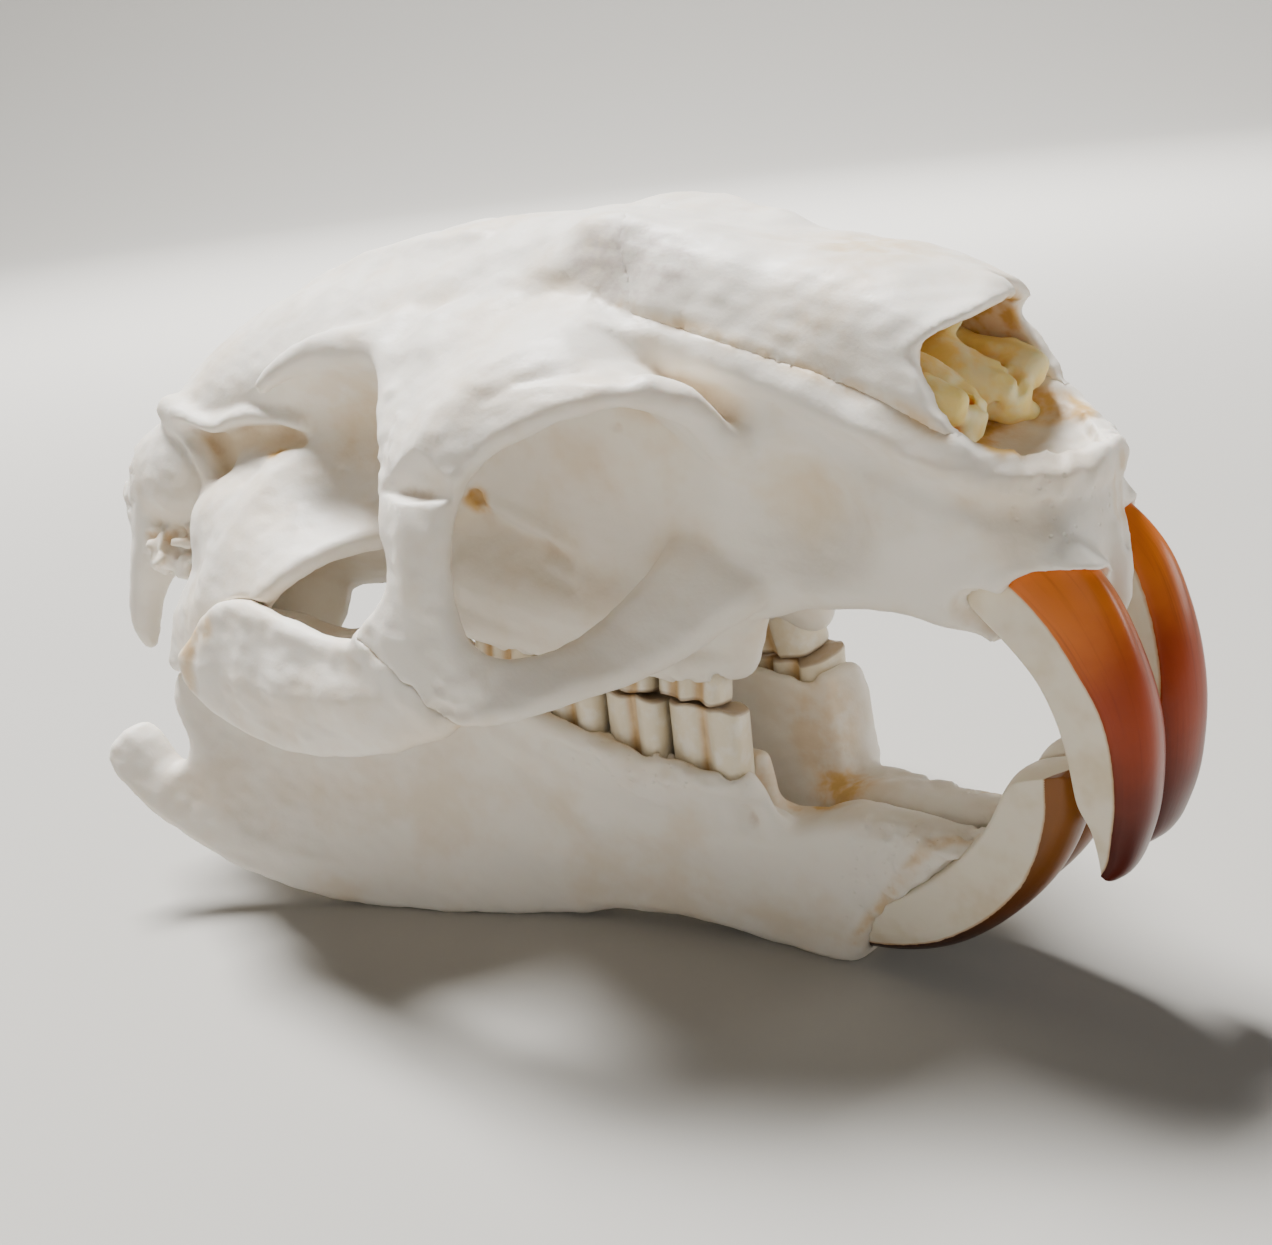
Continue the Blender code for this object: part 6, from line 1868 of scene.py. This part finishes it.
    def spread(self, x: Array, z: Array) -> tuple[Array, Array]:
        """Place and half thickness over the side view, as a thin-plate surface.

        Args:
            x: first coordinates.
            z: second coordinates.

        Returns:
            Distance from the midplane and half thickness.
        """
        sites = np.array(self.lie, float)

        def kernel(u: Array, v: Array) -> Array:
            """Squared distance times its logarithm."""
            squared = u * u + v * v + 1e-9
            return squared * np.log(squared)

        places, wanted = sites[:, :2], sites[:, 2:]
        count = len(sites)
        system = np.zeros((count + 3, count + 3))
        system[:count, :count] = kernel(places[:, :1] - places[:, 0], places[:, 1:] - places[:, 1])
        system[:count, :count] += 2.0 * np.eye(count)
        system[:count, count:] = np.c_[np.ones(count), places]
        system[count:, :count] = system[:count, count:].T
        weights = np.linalg.solve(system, np.vstack([wanted, np.zeros((3, 2))]))
        values = [w[count] + w[count + 1] * x + w[count + 2] * z for w in weights.T]
        for k, w in enumerate(weights.T):
            for (px, pz), weight in zip(places, w[:count]):
                values[k] = values[k] + weight * kernel(x - px, z - pz)
        return values[0], values[1]

    def distance(self, x: Array, s: Array, z: Array) -> Array:
        """Distance from the outlined plate with rounded edges."""
        flat_x, flat_z = x[:, 0, :], z[0, 0, :][None, :]
        rim = outline_distance(smooth_loop(self.outline), flat_x, flat_z, closed=True)
        middle, half = self.spread(flat_x, flat_z)
        half = np.clip(half, 0.8, 4.2)
        gx, gz = np.gradient(middle, flat_x[1, 0] - flat_x[0, 0], flat_z[0, 1] - flat_z[0, 0])
        slope = 1.0 / np.sqrt(1.0 + gx * gx + gz * gz)
        rim, middle = rim[:, None, :], middle[:, None, :]
        half, slope = half[:, None, :], slope[:, None, :]
        across = np.abs(s - middle) * slope - half
        rounding = np.minimum(half, 1.8)
        u, v = rim + rounding, across + rounding
        corner = np.sqrt(np.maximum(u, 0) ** 2 + np.maximum(v, 0) ** 2)
        return corner + np.minimum(np.maximum(u, v), 0) - rounding

    def build(self, finish: Material, skull: Volume) -> None:
        """Both halves, clear of the upper skull."""
        jaw = Volume.between(*self.field_box)
        jaw.join(self, 0.0)
        jaw.join(self.joint, 1.5)
        for wall in (Rod(self.outer_wall, 3), Rod(self.outer_low, 3), Rod(self.spur, 3),
                     Skin([self.inner_top, self.inner_low])):
            jaw.join(wall, 1.6)
        jaw.carve(Rod(self.dip, 2), 1.2)
        carve_sockets(jaw, False)
        jaw.carve(BentTooth(LOWER_PAIR), 0.2, grow=GUM / 2)
        jaw.weather(self.marks, self.holes, self.broken, seed=47)
        jaw.clear_of(skull, SEAM)
        _, s, z = jaw.everywhere()
        jaw.limit(self.chin_gap - s, 0.5)
        jaw.limit(FLAT - z)
        for side in HALVES:
            node = f"mandible_{side.word}"
            half = jaw.placed(side)
            if side is Side.LEFT:
                half.join(Skin(self.far_wall), 1.2)
            else:
                half.carve(Slab(self.near_cut, self.near_sides), 0.6)
            BonePiece(node + "_bone", half, (node,), self.stains, self.rough,
                      grain=Grain(seed=20 + side.value), budget=150_000).build(finish)


@dataclass
class Studio:
    """A pale floor that curves up all round, soft lights, and the photographed angle."""

    floor_colour: str = "#AEABA5"
    reach: float = 1.7
    level: float = 0.9
    bend: float = 0.6
    segments: int = 96
    centre: tuple[float, float, float] = (59.0, 0.0, 35.0)
    azimuth: float = 41.34
    elevation: float = 19.23
    roll: float = -6.53
    distance: float = 159.67
    shift: tuple[float, float] = (-1.96, 5.98)
    focal_pixels: float = 1564.12
    image_width: int = 1272
    sensor: float = 36.0
    sky_colour: str = "#E9ECF0"
    sky_strength: float = 0.05
    # Soft boxes: name, way, watts, side, distance, and how far beyond the skull each is turned.
    lamps: Sequence[tuple[str, Sequence[float], float, float, float, float]] = (
        ("key_box", (-0.3, 0.95, -0.02), 38.0, 0.3, 1.05, 0.0),
        ("nose_box", (0.95, 0.3, 0.1), 1.5, 0.25, 0.75, 0.0),
        ("fill_box", (-0.3, 0.0, 0.95), 0.5, 0.5, 0.75, 0.0),
        ("rim_box", (0.0, 0.8, -0.6), 14.0, 0.6, 0.8, 1.6))

    def axes(self) -> tuple[Array, Array, Array]:
        """The camera's backward, right and up directions."""
        a, e, r = np.radians([self.azimuth, self.elevation, self.roll])
        back = np.array([np.cos(e) * np.sin(a), -np.cos(e) * np.cos(a), np.sin(e)])
        right = np.array([np.cos(a), np.sin(a), 0.0])
        up = np.cross(back, right)
        return back, np.cos(r) * right + np.sin(r) * up, -np.sin(r) * right + np.cos(r) * up

    def camera(self) -> None:
        """A camera where the photo's was, worked out from matching points on the skull."""
        back, right, up = self.axes()
        place = np.array(self.centre) + self.distance * back
        place = to_row(place - self.shift[0] * right - self.shift[1] * up)
        data = bpy.data.cameras.new("photo_camera")
        data.sensor_width = self.sensor
        data.lens = self.focal_pixels / self.image_width * self.sensor
        data.clip_start = 0.01
        eye = in_scene("photo_camera", data)
        eye.matrix_world = Matrix([[right[i], up[i], back[i], place[i]] for i in range(3)]
                                  + [[0, 0, 0, 1]])
        bpy.context.scene.camera = eye

    def floor(self) -> None:
        """A disc whose rim curves up: radius and height along a profile, turned once round."""
        turn = np.linspace(0, math.pi / 2, 14)
        curve = self.reach - self.bend + self.bend * np.sin(turn)
        radius = np.concatenate([[0.05, 0.3, 0.7], curve, [self.reach]])
        height = np.concatenate([[0, 0, 0], self.bend * (1 - np.cos(turn)), [self.level]])
        around = np.arange(self.segments) / self.segments * 2 * math.pi
        x = radius[:, None] * np.cos(around)
        y = radius[:, None] * np.sin(around)
        z = height[:, None] + 0 * x
        points = np.stack([x, y, z], -1).reshape(-1, 3)
        faces = round_grid(len(radius), len(around)).tolist() + [[*range(self.segments)][::-1]]
        mesh = bpy.data.meshes.new("studio_floor")
        mesh.from_pydata(points, [], [face[::-1] for face in faces])
        mesh.shade_smooth()
        paper, _, _ = blank("matt_paper_board", {"Base Color": linear(self.floor_colour),
                                                 "Roughness": 0.85})
        mesh.materials.append(paper)
        in_scene("studio_floor", mesh)

    def lamp(self, name: str, way: Sequence[float], power: float, size: float,
             away: float, beyond: float) -> None:
        """A square soft box that faces the skull, or the floor's rim beyond it.

        Args:
            name: the lamp's name.
            way: how far right, up and back of the skull it hangs, seen from the camera.
            power: watts.
            size: its side, metres.
            away: its distance, metres.
            beyond: how far past the skull, seen from the camera, it is turned to, metres.
        """
        back, right, up = self.axes()
        toward = way[0] * right + way[1] * up + way[2] * back
        toward /= np.linalg.norm(toward)
        data = bpy.data.lights.new(name, "AREA")
        data.energy, data.size = power, size
        lamp = in_scene(name, data)
        lamp.location = Vector(toward * away) + Vector((0, 0, 0.03))
        facing = lamp.location + Vector(back) * beyond
        lamp.rotation_euler = facing.to_track_quat("Z", "Y").to_euler()

    def lights(self) -> None:
        """A key high above, weak lamps before the nose and the camera, one for the rim, a sky."""
        for lamp in self.lamps:
            self.lamp(*lamp)
        world = bpy.data.worlds.new("studio_air")
        bpy.context.scene.world = world
        world.use_nodes = True
        shell = world.node_tree.nodes["Background"]
        shell.inputs["Color"].default_value = linear(self.sky_colour)
        shell.inputs["Strength"].default_value = self.sky_strength

    def build(self) -> None:
        """Floor, lights and camera."""
        self.floor()
        self.lights()
        self.camera()


def main() -> None:
    """Build every piece round the frame."""
    logging.basicConfig(level=logging.INFO, format="%(message)s")
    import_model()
    bone = BleachedBone().material()
    cheeks = CheekBones()
    skull, cheek, nose = Braincase().build(bone, cheeks.plate())
    cheeks.build(bone, cheek)
    NoseScrolls().build(nose)
    LowerJaw().build(bone, skull)
    CheekTeeth().build()
    UPPER_PAIR.build()
    LOWER_PAIR.build()
    Studio().build()


if __name__ == "__main__":
    main()
